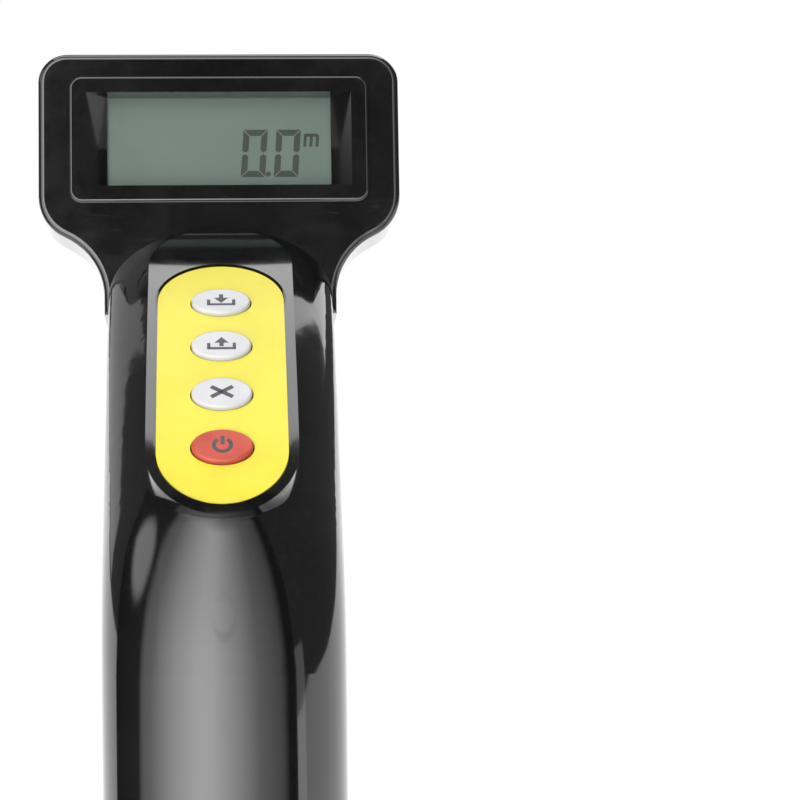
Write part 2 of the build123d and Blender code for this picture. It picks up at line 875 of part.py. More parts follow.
print("pole")
with BuildPart() as tube_socket:
    add(grip_cavity.part)
    with BuildSketch(pole_plane(pole_length)):
        Rectangle(80, 80)
    extrude(amount=tube_in_handle, mode=Mode.INTERSECT)
    with BuildSketch(pole_plane(pole_length)):
        Circle(upper_tube_r)
    extrude(amount=tube_in_handle, mode=Mode.SUBTRACT)
    socket_screw_at = pole_length + tube_in_handle / 2
    with BuildSketch(pole_side(-cut_half)):
        with Locations((0, socket_screw_at)):
            Circle(screw_r + shaft_gap)
    extrude(amount=2 * cut_half, mode=Mode.SUBTRACT)
save(tube_socket, "tube_socket")

upper_tube_base = lower_tube_top - tube_overlap
upper_tube_top = pole_length + tube_in_handle
side_screw_reach = 16.0
with BuildPart() as upper_tube:
    with BuildSketch(pole_plane(upper_tube_base)):
        Circle(upper_tube_r)
        Circle(upper_tube_r - tube_wall, mode=Mode.SUBTRACT)
    extrude(amount=upper_tube_top - upper_tube_base)
    with BuildSketch(pole_side(-cut_half)):
        with Locations((0, socket_screw_at)):
            Circle(screw_r + shaft_gap)
    extrude(amount=2 * cut_half, mode=Mode.SUBTRACT)
save(upper_tube, "upper_tube")

with BuildPart() as socket_screws:
    for side in (1, -1):
        with BuildSketch(pole_side(side * side_screw_reach)):
            with Locations((0, socket_screw_at)):
                Circle(screw_r)
        extrude(amount=-side * (side_screw_reach - upper_tube_r + tube_wall))
save(socket_screws, "socket_screws")

end_collar_height = 7.0
with BuildPart() as end_collar:
    with BuildSketch(pole_plane(pole_length)):
        with BuildLine():
            CenterArc((0, (grip_crown - grip_belly) / 2), grip_half_width, 0, 360)
        make_face()
    extrude(amount=-end_collar_height)
    fillet(end_collar.edges().sort_by(Axis(on_pole(0), pole_up))[0], 2.5)
    with BuildSketch(pole_plane(pole_length)):
        Circle(upper_tube_r)
    extrude(amount=-end_collar_height, mode=Mode.SUBTRACT)
save(end_collar, "end_collar")

bush_length = 24.0
with BuildPart() as guide_bush:
    with BuildSketch(pole_plane(upper_tube_base - bush_rim)):
        Circle(lower_bore_r - shaft_gap)
        Circle(upper_tube_r - tube_wall, mode=Mode.SUBTRACT)
    extrude(amount=bush_rim)
    with BuildSketch(pole_plane(upper_tube_base)):
        Circle(lower_bore_r - shaft_gap)
        Circle(upper_tube_r, mode=Mode.SUBTRACT)
    extrude(amount=bush_length)
save(guide_bush, "guide_bush")

with BuildPart() as lower_tube:
    with BuildSketch(pole_plane(tube_seat)):
        Circle(lower_tube_r)
        Circle(lower_bore_r, mode=Mode.SUBTRACT)
    extrude(amount=lower_tube_top - tube_seat)
save(lower_tube, "lower_tube")

mouth_bush_length = 14.0
with BuildPart() as mouth_bush:
    with BuildSketch(pole_plane(lower_tube_top - mouth_bush_length)):
        Circle(lower_bore_r)
        Circle(upper_tube_r + shaft_gap, mode=Mode.SUBTRACT)
    extrude(amount=mouth_bush_length)
    with BuildSketch(pole_plane(lower_tube_top)):
        Circle(lower_tube_r)
        Circle(upper_tube_r + shaft_gap, mode=Mode.SUBTRACT)
    extrude(amount=2)
save(mouth_bush, "mouth_bush")

collar_r = lower_tube_r + collar_wall
collar_base = lower_tube_top - collar_height + 6
collar_mid = collar_base + collar_height / 2
lug_height = 8.0
pin_r = 2.0
pin_turn = radians(56.7)
lever_hub_r = 5.0
lever_r = collar_r + lever_hub_r + 1.7
pin_x = lever_r * cos(pin_turn)
pin_y = lever_r * sin(pin_turn)
hub_half = collar_height / 2 - lug_height
with BuildPart() as clamp_collar:
    with BuildSketch(pole_plane(collar_base)):
        Circle(collar_r)
        with Locations((pin_x - 2, pin_y / 2 + 2.5)):
            Rectangle(15, pin_y + 5)
    extrude(amount=collar_height)
    with BuildSketch(pole_plane(collar_base)):
        Circle(lower_tube_r)
    extrude(amount=lower_tube_top - collar_base + 2, mode=Mode.SUBTRACT)
    with BuildSketch(pole_plane(lower_tube_top + 2)):
        Circle(upper_tube_r + touch_gap)
    extrude(amount=collar_height, mode=Mode.SUBTRACT)
    with BuildSketch(pole_plane(collar_mid - hub_half - touch_gap)):
        with Locations((0, 2 * collar_r)):
            Rectangle(5 * collar_r, 4 * collar_r)
        Circle(collar_r, mode=Mode.SUBTRACT)
    extrude(amount=2 * (hub_half + touch_gap), mode=Mode.SUBTRACT)
    with BuildSketch(pole_plane(collar_base)):
        with Locations((0, collar_r)):
            Rectangle(2.0, 2 * collar_r - 4)
    extrude(amount=collar_height, mode=Mode.SUBTRACT)
    with BuildSketch(pole_plane(collar_base)):
        with Locations((pin_x, pin_y)):
            Circle(pin_r)
    extrude(amount=collar_height, mode=Mode.SUBTRACT)
save(clamp_collar, "clamp_collar")

with BuildPart() as lever_pin:
    with BuildSketch(pole_plane(collar_base)):
        with Locations((pin_x, pin_y)):
            Circle(pin_r)
    extrude(amount=collar_height)
save(lever_pin, "lever_pin")

lever_wall = 4.4
lever_tip = radians(160)
with BuildPart() as clamp_lever:
    with BuildSketch(pole_plane(collar_mid - hub_half)):
        with BuildLine():
            for radius in (lever_r - lever_wall / 2, lever_r + lever_wall / 2):
                ThreePointArc(
                    (radius * cos(pin_turn), radius * sin(pin_turn)),
                    (radius * cos((pin_turn + lever_tip) / 2), radius * sin((pin_turn + lever_tip) / 2)),
                    (radius * cos(lever_tip), radius * sin(lever_tip)),
                )
            inner, outer = lever_r - lever_wall / 2, lever_r + lever_wall / 2
            for turn in (pin_turn, lever_tip):
                Line((inner * cos(turn), inner * sin(turn)), (outer * cos(turn), outer * sin(turn)))
        make_face()
        with Locations((lever_r * cos(lever_tip), lever_r * sin(lever_tip))):
            Circle(lever_wall / 2 + 1)
        with Locations((pin_x, pin_y)):
            Circle(lever_hub_r)
            Circle(pin_r + shaft_gap, mode=Mode.SUBTRACT)
    extrude(amount=2 * hub_half)
save(clamp_lever, "clamp_lever")

print("fork")
arm_inside = fork_gap / 2
arm_outside = arm_inside + arm_wall
crown_top = crown_base + crown_height
boss_top = crown_top + 26
tube_boss_r = lower_tube_r + 4
bolt_heights = (crown_base + 12, crown_base + 32)
passage = 8.0
bolt_tip = lower_tube_r + bolt_land
head_sunk = 0.8
with BuildPart() as fork_crown:
    with BuildSketch(pole_plane(crown_base)):
        RectangleRounded(fork_gap, crown_depth, 5)
    extrude(amount=crown_height)
    with BuildSketch(pole_plane(crown_top)):
        Circle(tube_boss_r)
    extrude(amount=boss_top - crown_top)
    chamfer(fork_crown.edges().sort_by(Axis(on_pole(0), pole_up))[-1], 1.5)
    with BuildSketch(pole_plane(tube_seat)):
        Circle(lower_tube_r)
    extrude(amount=boss_top - tube_seat, mode=Mode.SUBTRACT)
    with BuildSketch(pole_plane(crown_base)):
        with Locations((arm_inside / 2 - 2, 0)):
            Rectangle(arm_inside + 6, passage)
    extrude(amount=tube_seat - crown_base, mode=Mode.SUBTRACT)
    with BuildSketch(pole_side(-cut_half)):
        with Locations(*[(place, height) for height in bolt_heights for place in (-8, 8)]):
            Circle(fork_bolt_r)
        with Locations((0, boss_top - 9)):
            Circle(screw_r)
    extrude(amount=2 * cut_half, mode=Mode.SUBTRACT)
save(fork_crown, "fork_crown")

lug_r = 9.0
for side, name in ((-1, "fork_arm_left"), (1, "fork_arm_right")):
    with BuildPart() as fork_arm:
        with BuildSketch(pole_side(side * arm_inside)):
            Circle(arm_width / 2 + 3)
            with Locations((0, (crown_top - 4) / 2)):
                Rectangle(arm_width, crown_top - 4)
            with Locations((-stand_back, stand_up)):
                Circle(lug_r)
            with BuildLine():
                Polyline(
                    (0, stand_up + 34),
                    (-arm_width / 2, stand_up + 34),
                    (-stand_back - lug_r * 0.7, stand_up + lug_r * 0.7),
                    (-stand_back - lug_r * 0.7, stand_up - lug_r * 0.7),
                    (-arm_width / 2, stand_up - 34),
                    (0, stand_up - 34),
                    close=True,
                )
            make_face()
        extrude(amount=side * arm_wall)
        with BuildSketch(pole_side(side * arm_inside)):
            Circle(axle_r + shaft_gap)
            with Locations((-stand_back, stand_up)):
                Circle(stand_rod_r + shaft_gap)
            with Locations(*[(place, height) for height in bolt_heights for place in (-8, 8)]):
                Circle(fork_bolt_r)
        extrude(amount=side * arm_wall, mode=Mode.SUBTRACT)
        fillet(fork_arm.edges().filter_by(Axis.X).group_by(Axis(on_pole(0), pole_up))[-1], 4)
    save(fork_arm, name)

with BuildPart() as fork_bolts:
    for side in (1, -1):
        for height in bolt_heights:
            for place in (-8, 8):
                with BuildSketch(pole_side(side * arm_outside)):
                    with Locations((place, height)):
                        Circle(fork_bolt_r * 1.8)
                        RegularPolygon(fork_bolt_r * 0.9, 6, mode=Mode.SUBTRACT)
                extrude(amount=side * 3.0)
                with BuildSketch(pole_side(side * (arm_outside + head_sunk))):
                    with Locations((place, height)):
                        Circle(fork_bolt_r)
                extrude(amount=-side * (arm_outside + head_sunk - bolt_tip))
save(fork_bolts, "fork_bolts")

with BuildPart() as crown_screws:
    for side in (1, -1):
        with BuildSketch(pole_side(side * (tube_boss_r + 0.6))):
            with Locations((0, boss_top - 9)):
                Circle(screw_r)
        extrude(amount=-side * (tube_boss_r + 0.6 - lower_tube_r))
save(crown_screws, "crown_screws")

print("wheel")
wheel_plane = Plane(origin=(0, 0, wheel_r), x_dir=(1, 0, 0), z_dir=(0, -1, 0))
wheel_axis = Axis((0, 0, wheel_r), (1, 0, 0))
wheel_face = Plane(origin=(0, 0, wheel_r), x_dir=(0, 1, 0), z_dir=(1, 0, 0))
rim_r = wheel_r - tyre_depth
half_tyre = tyre_width / 2
bead_half = 3.0
groove_x = 4.2
tread_cut = 1.6
with BuildPart() as tyre:
    with BuildSketch(wheel_plane):
        with BuildLine():
            ThreePointArc((-half_tyre, wheel_r - 3.0), (0, wheel_r), (half_tyre, wheel_r - 3.0))
            Line((half_tyre, wheel_r - 3.0), (rim_width / 2, rim_r))
            Line((rim_width / 2, rim_r), (bead_half, rim_r))
            Line((bead_half, rim_r), (bead_half, rim_r - tyre_bead))
            Line((bead_half, rim_r - tyre_bead), (-bead_half, rim_r - tyre_bead))
            Line((-bead_half, rim_r - tyre_bead), (-bead_half, rim_r))
            Line((-bead_half, rim_r), (-rim_width / 2, rim_r))
            Line((-rim_width / 2, rim_r), (-half_tyre, wheel_r - 3.0))
        make_face()
        with Locations((groove_x, wheel_r), (-groove_x, wheel_r)):
            Rectangle(groove_width, 2 * groove_depth, mode=Mode.SUBTRACT)
    revolve(axis=wheel_axis)
    for side in (1, -1):
        with BuildSketch(wheel_face.offset(side * (groove_x + groove_width / 2))):
            with PolarLocations(wheel_r, tread_count):
                Rectangle(2 * groove_depth, tread_cut)
        extrude(amount=side * half_tyre, mode=Mode.SUBTRACT)
save(tyre, "tyre")

rim_inside = rim_r - rim_depth


def spoke_blade(half_at_hub, half_at_rim):
    """Tapered spoke outline, lying along local x."""
    with BuildSketch() as blade:
        with BuildLine():
            Polyline(
                (hub_r - 4, half_at_hub),
                (rim_inside + 1, half_at_rim),
                (rim_inside + 1, -half_at_rim),
                (hub_r - 4, -half_at_hub),
                close=True,
            )
        make_face()
    return blade.sketch


with BuildPart() as wheel_body:
    with BuildSketch(wheel_plane):
        with Locations((0, rim_r - rim_depth / 2)):
            Rectangle(rim_width, rim_depth)
        with Locations((0, rim_r - tyre_bead / 2)):
            Rectangle(2 * bead_half, tyre_bead, mode=Mode.SUBTRACT)
        with Locations((0, hub_r / 2)):
            Rectangle(hub_width, hub_r)
        with Locations((hub_width / 2 - hub_flange_wall / 2, hub_flange_r / 2)):
            Rectangle(hub_flange_wall, hub_flange_r)
    revolve(axis=wheel_axis)
    with BuildSketch(wheel_face.offset(-spoke_web / 2)):
        with PolarLocations(0, spoke_count, start_angle=-90 + 180 / spoke_count):
            add(spoke_blade(spoke_width * 0.75, spoke_width / 2))
    extrude(amount=spoke_web)
    with BuildSketch(wheel_face.offset(-rim_width / 2 + 2)):
        with PolarLocations(0, spoke_count, start_angle=-90 + 180 / spoke_count):
            add(spoke_blade(2.0, 1.5))
    extrude(amount=rim_width - 4)
    with BuildSketch(wheel_face.offset(-hub_width / 2)):
        Circle(bearing_r)
    extrude(amount=bearing_width, mode=Mode.SUBTRACT)
    with BuildSketch(wheel_face.offset(hub_width / 2)):
        Circle(bearing_r)
    extrude(amount=-bearing_width, mode=Mode.SUBTRACT)
    with BuildSketch(wheel_face.offset(-hub_width / 2)):
        Circle(bearing_r - 2.5)
    extrude(amount=hub_width, mode=Mode.SUBTRACT)
save(wheel_body, "wheel_body")

ring_base = hub_width / 2
ring_wall = 3.6
ring_in_r = 24.0
ring_out_r = hub_flange_r - 1
ring_screw_r = 1.25
with BuildPart() as magnet_ring:
    with BuildSketch(wheel_face.offset(ring_base)):
        Circle(ring_out_r)
        Circle(ring_in_r, mode=Mode.SUBTRACT)
    extrude(amount=ring_wall)
    with BuildSketch(wheel_face.offset(ring_base + ring_wall)):
        with PolarLocations(magnet_circle_r, marks_per_turn, start_angle=90):
            Circle(magnet_r)
    extrude(amount=-magnet_length, mode=Mode.SUBTRACT)
    with BuildSketch(wheel_face.offset(ring_base)):
        with PolarLocations(ring_in_r + 2.6, 3, start_angle=90 + 180 / marks_per_turn):
            Circle(ring_screw_r)
    extrude(amount=ring_wall, mode=Mode.SUBTRACT)
save(magnet_ring, "magnet_ring")

with BuildPart() as magnets:
    with BuildSketch(wheel_face.offset(ring_base + ring_wall)):
        with PolarLocations(magnet_circle_r, marks_per_turn, start_angle=90):
            Circle(magnet_r)
    extrude(amount=-magnet_length)
save(magnets, "magnets")

with BuildPart() as ring_screws:
    with BuildSketch(wheel_face.offset(ring_base)):
        with PolarLocations(ring_in_r + 2.6, 3, start_angle=90 + 180 / marks_per_turn):
            Circle(ring_screw_r)
    extrude(amount=ring_wall + 0.5)
save(ring_screws, "ring_screws")

ball_circle_r = (axle_r + bearing_r) / 2
ball_room = ball_r + shaft_gap
bearing_places = [bearing_width / 2 - hub_width / 2, hub_width / 2 - bearing_width / 2]
with BuildPart() as bearing_outers:
    for place in bearing_places:
        with BuildSketch(wheel_face.offset(place - bearing_width / 2)):
            Circle(bearing_r)
            Circle(ball_circle_r + ball_room, mode=Mode.SUBTRACT)
        extrude(amount=bearing_width)
save(bearing_outers, "bearing_outers")

with BuildPart() as bearing_inners:
    for place in bearing_places:
        with BuildSketch(wheel_face.offset(place - bearing_width / 2)):
            Circle(ball_circle_r - ball_room)
            Circle(axle_r, mode=Mode.SUBTRACT)
        extrude(amount=bearing_width)
save(bearing_inners, "bearing_inners")

with BuildPart() as bearing_balls:
    for place in bearing_places:
        with Locations(wheel_face.offset(place)):
            with PolarLocations(ball_circle_r, ball_count):
                Sphere(ball_r)
save(bearing_balls, "bearing_balls")

spacer_r = 6.0
with BuildPart() as axle_spacers:
    for side in (1, -1):
        with BuildSketch(wheel_face.offset(side * hub_width / 2)):
            Circle(spacer_r)
            Circle(axle_r, mode=Mode.SUBTRACT)
        extrude(amount=side * (arm_inside - hub_width / 2))
    with BuildSketch(wheel_face.offset(-hub_width / 2 + bearing_width)):
        Circle(spacer_r - 0.5)
        Circle(axle_r, mode=Mode.SUBTRACT)
    extrude(amount=hub_width - 2 * bearing_width)
save(axle_spacers, "axle_spacers")

axle_head = 5.0
axle_flats = 6.5
nut_height = 6.5
thread_past_nut = 2.0
with BuildPart() as axle:
    with BuildSketch(wheel_face.offset(-arm_outside)):
        RegularPolygon(axle_flats, 6, major_radius=False)
    extrude(amount=-axle_head)
    with BuildSketch(wheel_face.offset(-arm_outside)):
        Circle(axle_r)
    extrude(amount=2 * arm_outside + nut_height + thread_past_nut)
    chamfer(axle.edges().sort_by(Axis.X)[-1], 0.8)
save(axle, "axle")

with BuildPart() as axle_nut:
    with BuildSketch(wheel_face.offset(arm_outside)):
        RegularPolygon(axle_flats, 6, major_radius=False)
        Circle(axle_r, mode=Mode.SUBTRACT)
    extrude(amount=nut_height)
save(axle_nut, "axle_nut")

print("sensor")
sensor_low = 24.0
sensor_high = 58.0
sensor_depth = 20.0
sensor_face = ring_base + ring_wall + 1.4
sensor_mid = (sensor_low + sensor_high) / 2
sensor_screw_up = (sensor_low + 5, sensor_high - 5)
lead_x = arm_inside - lead_r - 1.2
with BuildPart() as sensor_housing:
    with BuildSketch(pole_side(sensor_face)):
        with Locations((0, sensor_mid)):
            RectangleRounded(sensor_depth, sensor_high - sensor_low, 3)
    extrude(amount=arm_inside - sensor_face)
    with BuildSketch(pole_side(arm_inside)):
        with Locations((0, sensor_mid)):
            Rectangle(sensor_depth - 3, sensor_high - sensor_low - 20)
    extrude(amount=-(arm_inside - sensor_face - 1.0), mode=Mode.SUBTRACT)
    with BuildSketch(pole_side(sensor_face)):
        with Locations(*[(5.5, height) for height in sensor_screw_up]):
            Circle(screw_r)
    extrude(amount=arm_inside - sensor_face, mode=Mode.SUBTRACT)
    with BuildSketch(pole_plane(sensor_high - 12, 0, lead_x)):
        Circle(lead_r)
    extrude(amount=20, mode=Mode.SUBTRACT)
save(sensor_housing, "sensor_housing")

with BuildPart() as sensor_board:
    with BuildSketch(pole_side(sensor_face + 1.0)):
        with Locations((0, sensor_mid)):
            Rectangle(sensor_depth - 3, sensor_high - sensor_low - 20)
    extrude(amount=1.0)
save(sensor_board, "sensor_board")

with BuildPart() as sensor_screws:
    for height in sensor_screw_up:
        with BuildSketch(pole_side(sensor_face)):
            with Locations((5.5, height)):
                Circle(screw_r)
        extrude(amount=arm_inside - sensor_face)
save(sensor_screws, "sensor_screws")

print("leads")


def bend_radii(points):
    """Largest tangent arcs that the runs on each side of a corner leave room for."""
    radii = []
    for before, corner, after in zip(points, points[1:], points[2:]):
        first = corner - before
        last = after - corner
        half_turn = radians(first.get_angle(last)) / 2
        radii.append(0.45 * min(first.length, last.length) / tan(half_turn))
    return radii


sensor_route = [
    on_pole(sensor_high - 10, 0, lead_x),
    on_pole(sensor_high + 22, 0, lead_x),
    on_pole(sensor_high + 56, 1.0, lead_x + 0.6),
    on_pole(sensor_high + 90, 0, lead_x - 0.8),
    on_pole(crown_base - 4, 0, lead_x - 8.0),
    on_pole(crown_base + 16, 0, 2.5),
    on_pole(crown_base + 34, 0, 0),
    on_pole(crown_base + 56, 0, 0),
]
print("sensor lead bends", [round(radius, 1) for radius in bend_radii(sensor_route)])
with BuildPart() as sensor_lead:
    with BuildLine():
        FilletPolyline(*sensor_route, radius=bend_radii(sensor_route))
    with BuildSketch(Plane(origin=sensor_route[0], z_dir=sensor_route[1] - sensor_route[0])):
        Circle(lead_r)
    sweep()
save(sensor_lead, "sensor_lead")

coil_base = crown_base + 56
coil_top = upper_tube_top - 60
with BuildPart() as coiled_lead:
    with BuildSketch(pole_plane(coil_base)):
        Circle(coil_r)
    extrude(amount=coil_top - coil_base)
save(coiled_lead, "coiled_lead")


def behind_face(side, height, depth):
    near, up = face_point(height, depth)
    return handle_point(near, up, side)


plug_foot = plug_place[1] - plug_size[1] / 2
plug_mid = chip_base + plug_height / 2
handle_route = [
    on_pole(coil_top),
    on_pole(coil_top + 26),
    on_pole(upper_tube_top - 4, -3.5, 0.8),
    crown_world(crown_length - 46, 14.5, -1.0),
    crown_world(crown_length - 74, 13.5, 0.6),
    crown_world(arc_lengths[0] + 8, 14.5, -1.0),
    crown_world(arc_lengths[0] - 20, 15.0, -3.0),
    crown_world(arc_lengths[0] - 44, 15.0, -7.5),
    crown_world(plate_start - 4, 14.5, -12.5),
    behind_face(plug_place[0], plug_foot - 11, plug_mid),
    behind_face(plug_place[0], plug_foot, plug_mid),
]
print("handle lead bends", [round(radius, 1) for radius in bend_radii(handle_route)])
with BuildPart() as handle_lead:
    with BuildLine():
        FilletPolyline(*handle_route, radius=bend_radii(handle_route))
    with BuildSketch(Plane(origin=handle_route[0], z_dir=handle_route[1] - handle_route[0])):
        Circle(lead_r)
    sweep()
save(handle_lead, "handle_lead")

print("stand")
stand_pivot = on_pole(stand_up, -stand_back)
sleeve_r = stand_rod_r + sleeve_wall
foot_flat = 0.5
bar_height = sleeve_r - foot_flat
stand_drop = stand_pivot.Z - bar_height
stand_leg = sqrt(stand_reach ** 2 + stand_drop ** 2)
stand_down = Vector(0, -stand_reach, -stand_drop).normalized()
stub_inside = arm_inside - 5.0
leg_x = arm_outside + 9.0


def stand_point(side, along_leg):
    return stand_pivot + stand_down * along_leg + Vector(side, 0, 0)


stand_route = [
    stand_point(stub_inside, 0),
    stand_point(leg_x, 0),
    stand_point(stand_half_width, stand_leg),
    stand_point(-stand_half_width, stand_leg),
    stand_point(-leg_x, 0),
    stand_point(-stub_inside, 0),
]
with BuildPart() as stand_rod:
    with BuildLine():
        FilletPolyline(*stand_route, radius=[6.5, stand_bend_r, stand_bend_r, 6.5])
    with BuildSketch(Plane(origin=stand_route[0], z_dir=(1, 0, 0))):
        Circle(stand_rod_r)
    sweep()
save(stand_rod, "stand_rod")

sleeve_half = stand_half_width - stand_bend_r - 6
sleeve_plane = Plane(origin=stand_point(-sleeve_half, stand_leg), x_dir=(0, 1, 0), z_dir=(1, 0, 0))
with BuildPart() as stand_sleeve:
    with BuildSketch(sleeve_plane):
        Circle(sleeve_r)
        with Locations((0, -bar_height - 5)):
            Rectangle(2 * sleeve_r, 10, mode=Mode.SUBTRACT)
        Circle(stand_rod_r, mode=Mode.SUBTRACT)
    extrude(amount=2 * sleeve_half)
save(stand_sleeve, "stand_sleeve")

clip_wall = 1.2
with BuildPart() as stand_clips:
    for side in (1, -1):
        clip_at = stand_point(side * (arm_inside - touch_gap), 0)
        with BuildSketch(Plane(origin=clip_at, x_dir=(0, 1, 0), z_dir=(1, 0, 0))):
            Circle(stand_rod_r + 2.5)
            Circle(stand_rod_r, mode=Mode.SUBTRACT)
        extrude(amount=-side * clip_wall)
save(stand_clips, "stand_clips")

fold_turn = stand_down.get_angle(pole_up)
print("stand pivot", stand_pivot, "fold turn", fold_turn)
print("lever pin", on_pole(collar_mid, pin_y, pin_x))
print("drawn out", pole_length, "slides in by", pole_travel)
print("display face", face_root, face_normal)
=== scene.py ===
import json
from math import cos, pi, radians, sin

import bmesh
import bpy
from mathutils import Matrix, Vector


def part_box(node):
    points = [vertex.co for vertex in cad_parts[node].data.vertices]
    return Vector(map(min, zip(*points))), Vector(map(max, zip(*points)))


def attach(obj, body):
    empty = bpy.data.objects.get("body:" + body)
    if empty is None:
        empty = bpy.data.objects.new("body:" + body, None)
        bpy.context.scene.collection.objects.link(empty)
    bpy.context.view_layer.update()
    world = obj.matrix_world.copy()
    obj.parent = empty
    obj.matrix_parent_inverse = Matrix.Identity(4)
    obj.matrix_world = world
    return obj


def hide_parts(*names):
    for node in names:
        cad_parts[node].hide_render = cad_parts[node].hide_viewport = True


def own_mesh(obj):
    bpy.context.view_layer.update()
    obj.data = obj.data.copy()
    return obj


# Measuring wheel: finishes, display figures, key signs, spring lead and studio.

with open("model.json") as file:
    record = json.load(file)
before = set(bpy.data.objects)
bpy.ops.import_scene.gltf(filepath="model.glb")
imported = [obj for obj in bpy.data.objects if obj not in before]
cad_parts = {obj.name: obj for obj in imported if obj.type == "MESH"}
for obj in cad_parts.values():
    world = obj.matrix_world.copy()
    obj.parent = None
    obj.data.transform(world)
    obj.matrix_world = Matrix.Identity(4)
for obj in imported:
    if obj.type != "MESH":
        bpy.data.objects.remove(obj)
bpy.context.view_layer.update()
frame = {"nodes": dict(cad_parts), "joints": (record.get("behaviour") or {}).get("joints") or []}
nodes = frame["nodes"]
joints = {joint["name"]: joint for joint in frame["joints"]}
millimetre = 0.001


def middle(nodeName):
    low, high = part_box(nodeName)
    return (low + high) / 2


# way that a sliding joint moves its body
def slideWay(jointName):
    return Vector(joints[jointName]["axis"])


# from the handle, azimuth 0 faces the user and 90 is the user's right
def wayOut(azimuth, elevation):
    side, rise = radians(azimuth), radians(elevation)
    return Vector((sin(side) * cos(rise), -cos(side) * cos(rise), sin(rise)))


# square faces between rows of corners
def joinRows(build, rows):
    for lower, upper in zip(rows, rows[1:]):
        for column in range(len(lower) - 1):
            build.faces.new((lower[column], lower[column + 1], upper[column + 1], upper[column]))


def finishMesh(build, name):
    mesh = bpy.data.meshes.new(name)
    build.to_mesh(mesh)
    build.free()
    return mesh


def hangObject(name, data):
    piece = bpy.data.objects.new(name, data)
    bpy.context.scene.collection.objects.link(piece)
    return piece


# directions shared by the pieces and the camera
sightTilt = radians(9)      # the user looks down onto the display
faceTilt = radians(7)       # and the display leans back a little further
poleLean = radians(9)       # the pole leans towards the user
acrossAxis = Vector((1, 0, 0))
viewNear = Vector((0, -cos(sightTilt), sin(sightTilt)))
viewUp = Vector((0, sin(sightTilt), cos(sightTilt)))
faceNormal = viewNear * cos(faceTilt) + viewUp * sin(faceTilt)
faceUp = viewUp * cos(faceTilt) - viewNear * sin(faceTilt)
poleUp = -slideWay("pole_slide")
displayMiddle = middle("lcd_panel")

print("camera and studio")
cameraSetup = {
    "lens": 126.0,
    "away": 0.5671,         # from the display's middle, along the sight line
    "below": 0.0520,        # the aim is below the display's middle
    "turn": 3.64,           # the handle stands left of the picture's middle
}
studio = {
    "floorRadius": 60.0,
    # painted light: the floor glows by itself, dimmer under the wheel and near white far away
    "floorGlow": (0.42, 0.95),   # under the wheel, and far away
    "floorGlowReach": (0.5, 3.0),
    "roomLight": 0.08,
    "roomShown": 1.0,
    "exposure": 0.0,
}
# name, azimuth and elevation from the handle, distance, width, height, brightness
softLights = [
    ("overhead", 0.0, 108.0, 1.30, 1.30, 0.80, 2.2),
    ("backRight", 150.0, 35.0, 1.80, 1.00, 1.40, 1.5),
    ("backLeft", -140.0, 20.0, 2.00, 0.80, 1.60, 0.45),
    ("lowFront", 60.0, -10.0, 1.80, 0.60, 1.20, 0.5),
]
# a curved paper screen in front of the handle, glowing most a little left of the middle
frontScreen = {
    "radius": 1.6,
    "acrossGlow": [(-110, 0.0), (-76, 0.05), (-70, 0.75), (-62, 0.95), (-41, 2.45), (-20, 3.6), (-10, 3.5),
                   (7, 2.3), (26, 0.95), (38, 0.65), (46, 0.45), (52, 0.0), (60, 0.0)],
    "upGlow": [(-30, 0.0), (-22, 0.9), (-10, 1.05), (12, 1.0), (40, 0.85), (62, 0.78), (72, 0.0), (80, 0.0)],
    "gapAt": (0.0, 28.0),      # the dark place that the display face mirrors
    "gapHalf": (9.5, 7.5),
    "sideAt": (-90.0, 27.0),   # lights the far wall of the display recess
    "sideHalf": (11.0, 13.0),
    "sideGlow": 1.2,
    "steps": (85, 55),
}
# a small glowing card that closes that dark place for the shoulder of the grip alone
fillCard = {
    "fromDisplay": (0.0, -0.0835, -0.0787),   # the shoulder's place, from the display's middle
    "away": 0.30,
    "steps": 16,
}

turn = radians(cameraSetup["turn"])
lookAlong = -viewNear * cos(turn) + acrossAxis * sin(turn)
cameraData = bpy.data.cameras.new("sightCamera")
cameraData.lens = cameraSetup["lens"]
cameraData.sensor_width = 36
cameraData.clip_start = 0.01
cameraData.clip_end = 200
camera = hangObject("sightCamera", cameraData)
camera.rotation_mode = "QUATERNION"
camera.location = displayMiddle + viewNear * cameraSetup["away"] - viewUp * cameraSetup["below"]
camera.rotation_quaternion = lookAlong.to_track_quat("-Z", "Y")
bpy.context.scene.camera = camera
bpy.context.scene.view_settings.view_transform = "Standard"
bpy.context.scene.view_settings.exposure = studio["exposure"]

for lightName, azimuth, elevation, distance, width, height, brightness in softLights:
    outward = wayOut(azimuth, elevation)
    lightData = bpy.data.lights.new(lightName, "AREA")
    lightData.shape = "RECTANGLE"
    lightData.size = width
    lightData.size_y = height
    lightData.energy = brightness * pi * width * height
    light = hangObject(lightName, lightData)
    light.location = displayMiddle + outward * distance
    light.rotation_mode = "QUATERNION"
    light.rotation_quaternion = (-outward).to_track_quat("-Z", "Y")
    light.visible_camera = False


# height at a place on a line of joined points
def alongLine(points, at):
    for (x0, y0), (x1, y1) in zip(points, points[1:]):
        if x0 <= at <= x1:
            return y0 + (y1 - y0) * (at - x0) / (x1 - x0)
    return 0.0


# 1 well inside an oval, fading to 0 at softReach times its size
softReach = 1.25
softBand = 0.5


def softEdge(distance):
    share = min(max((softReach - distance) / softBand, 0.0), 1.0)
    return share * share * (3 - 2 * share)


# 1 on the edge of an oval
def farFrom(place, centre, half):
    return (((place[0] - centre[0]) / half[0]) ** 2 + ((place[1] - centre[1]) / half[1]) ** 2) ** 0.5


# what the screen would give off without its dark place, and how much of it that place takes
def screenLevel(azimuth, elevation):
    return alongLine(frontScreen["acrossGlow"], azimuth) * alongLine(frontScreen["upGlow"], elevation)


def gapShare(azimuth, elevation):
    return softEdge(farFrom((azimuth, elevation), frontScreen["gapAt"], frontScreen["gapHalf"]))


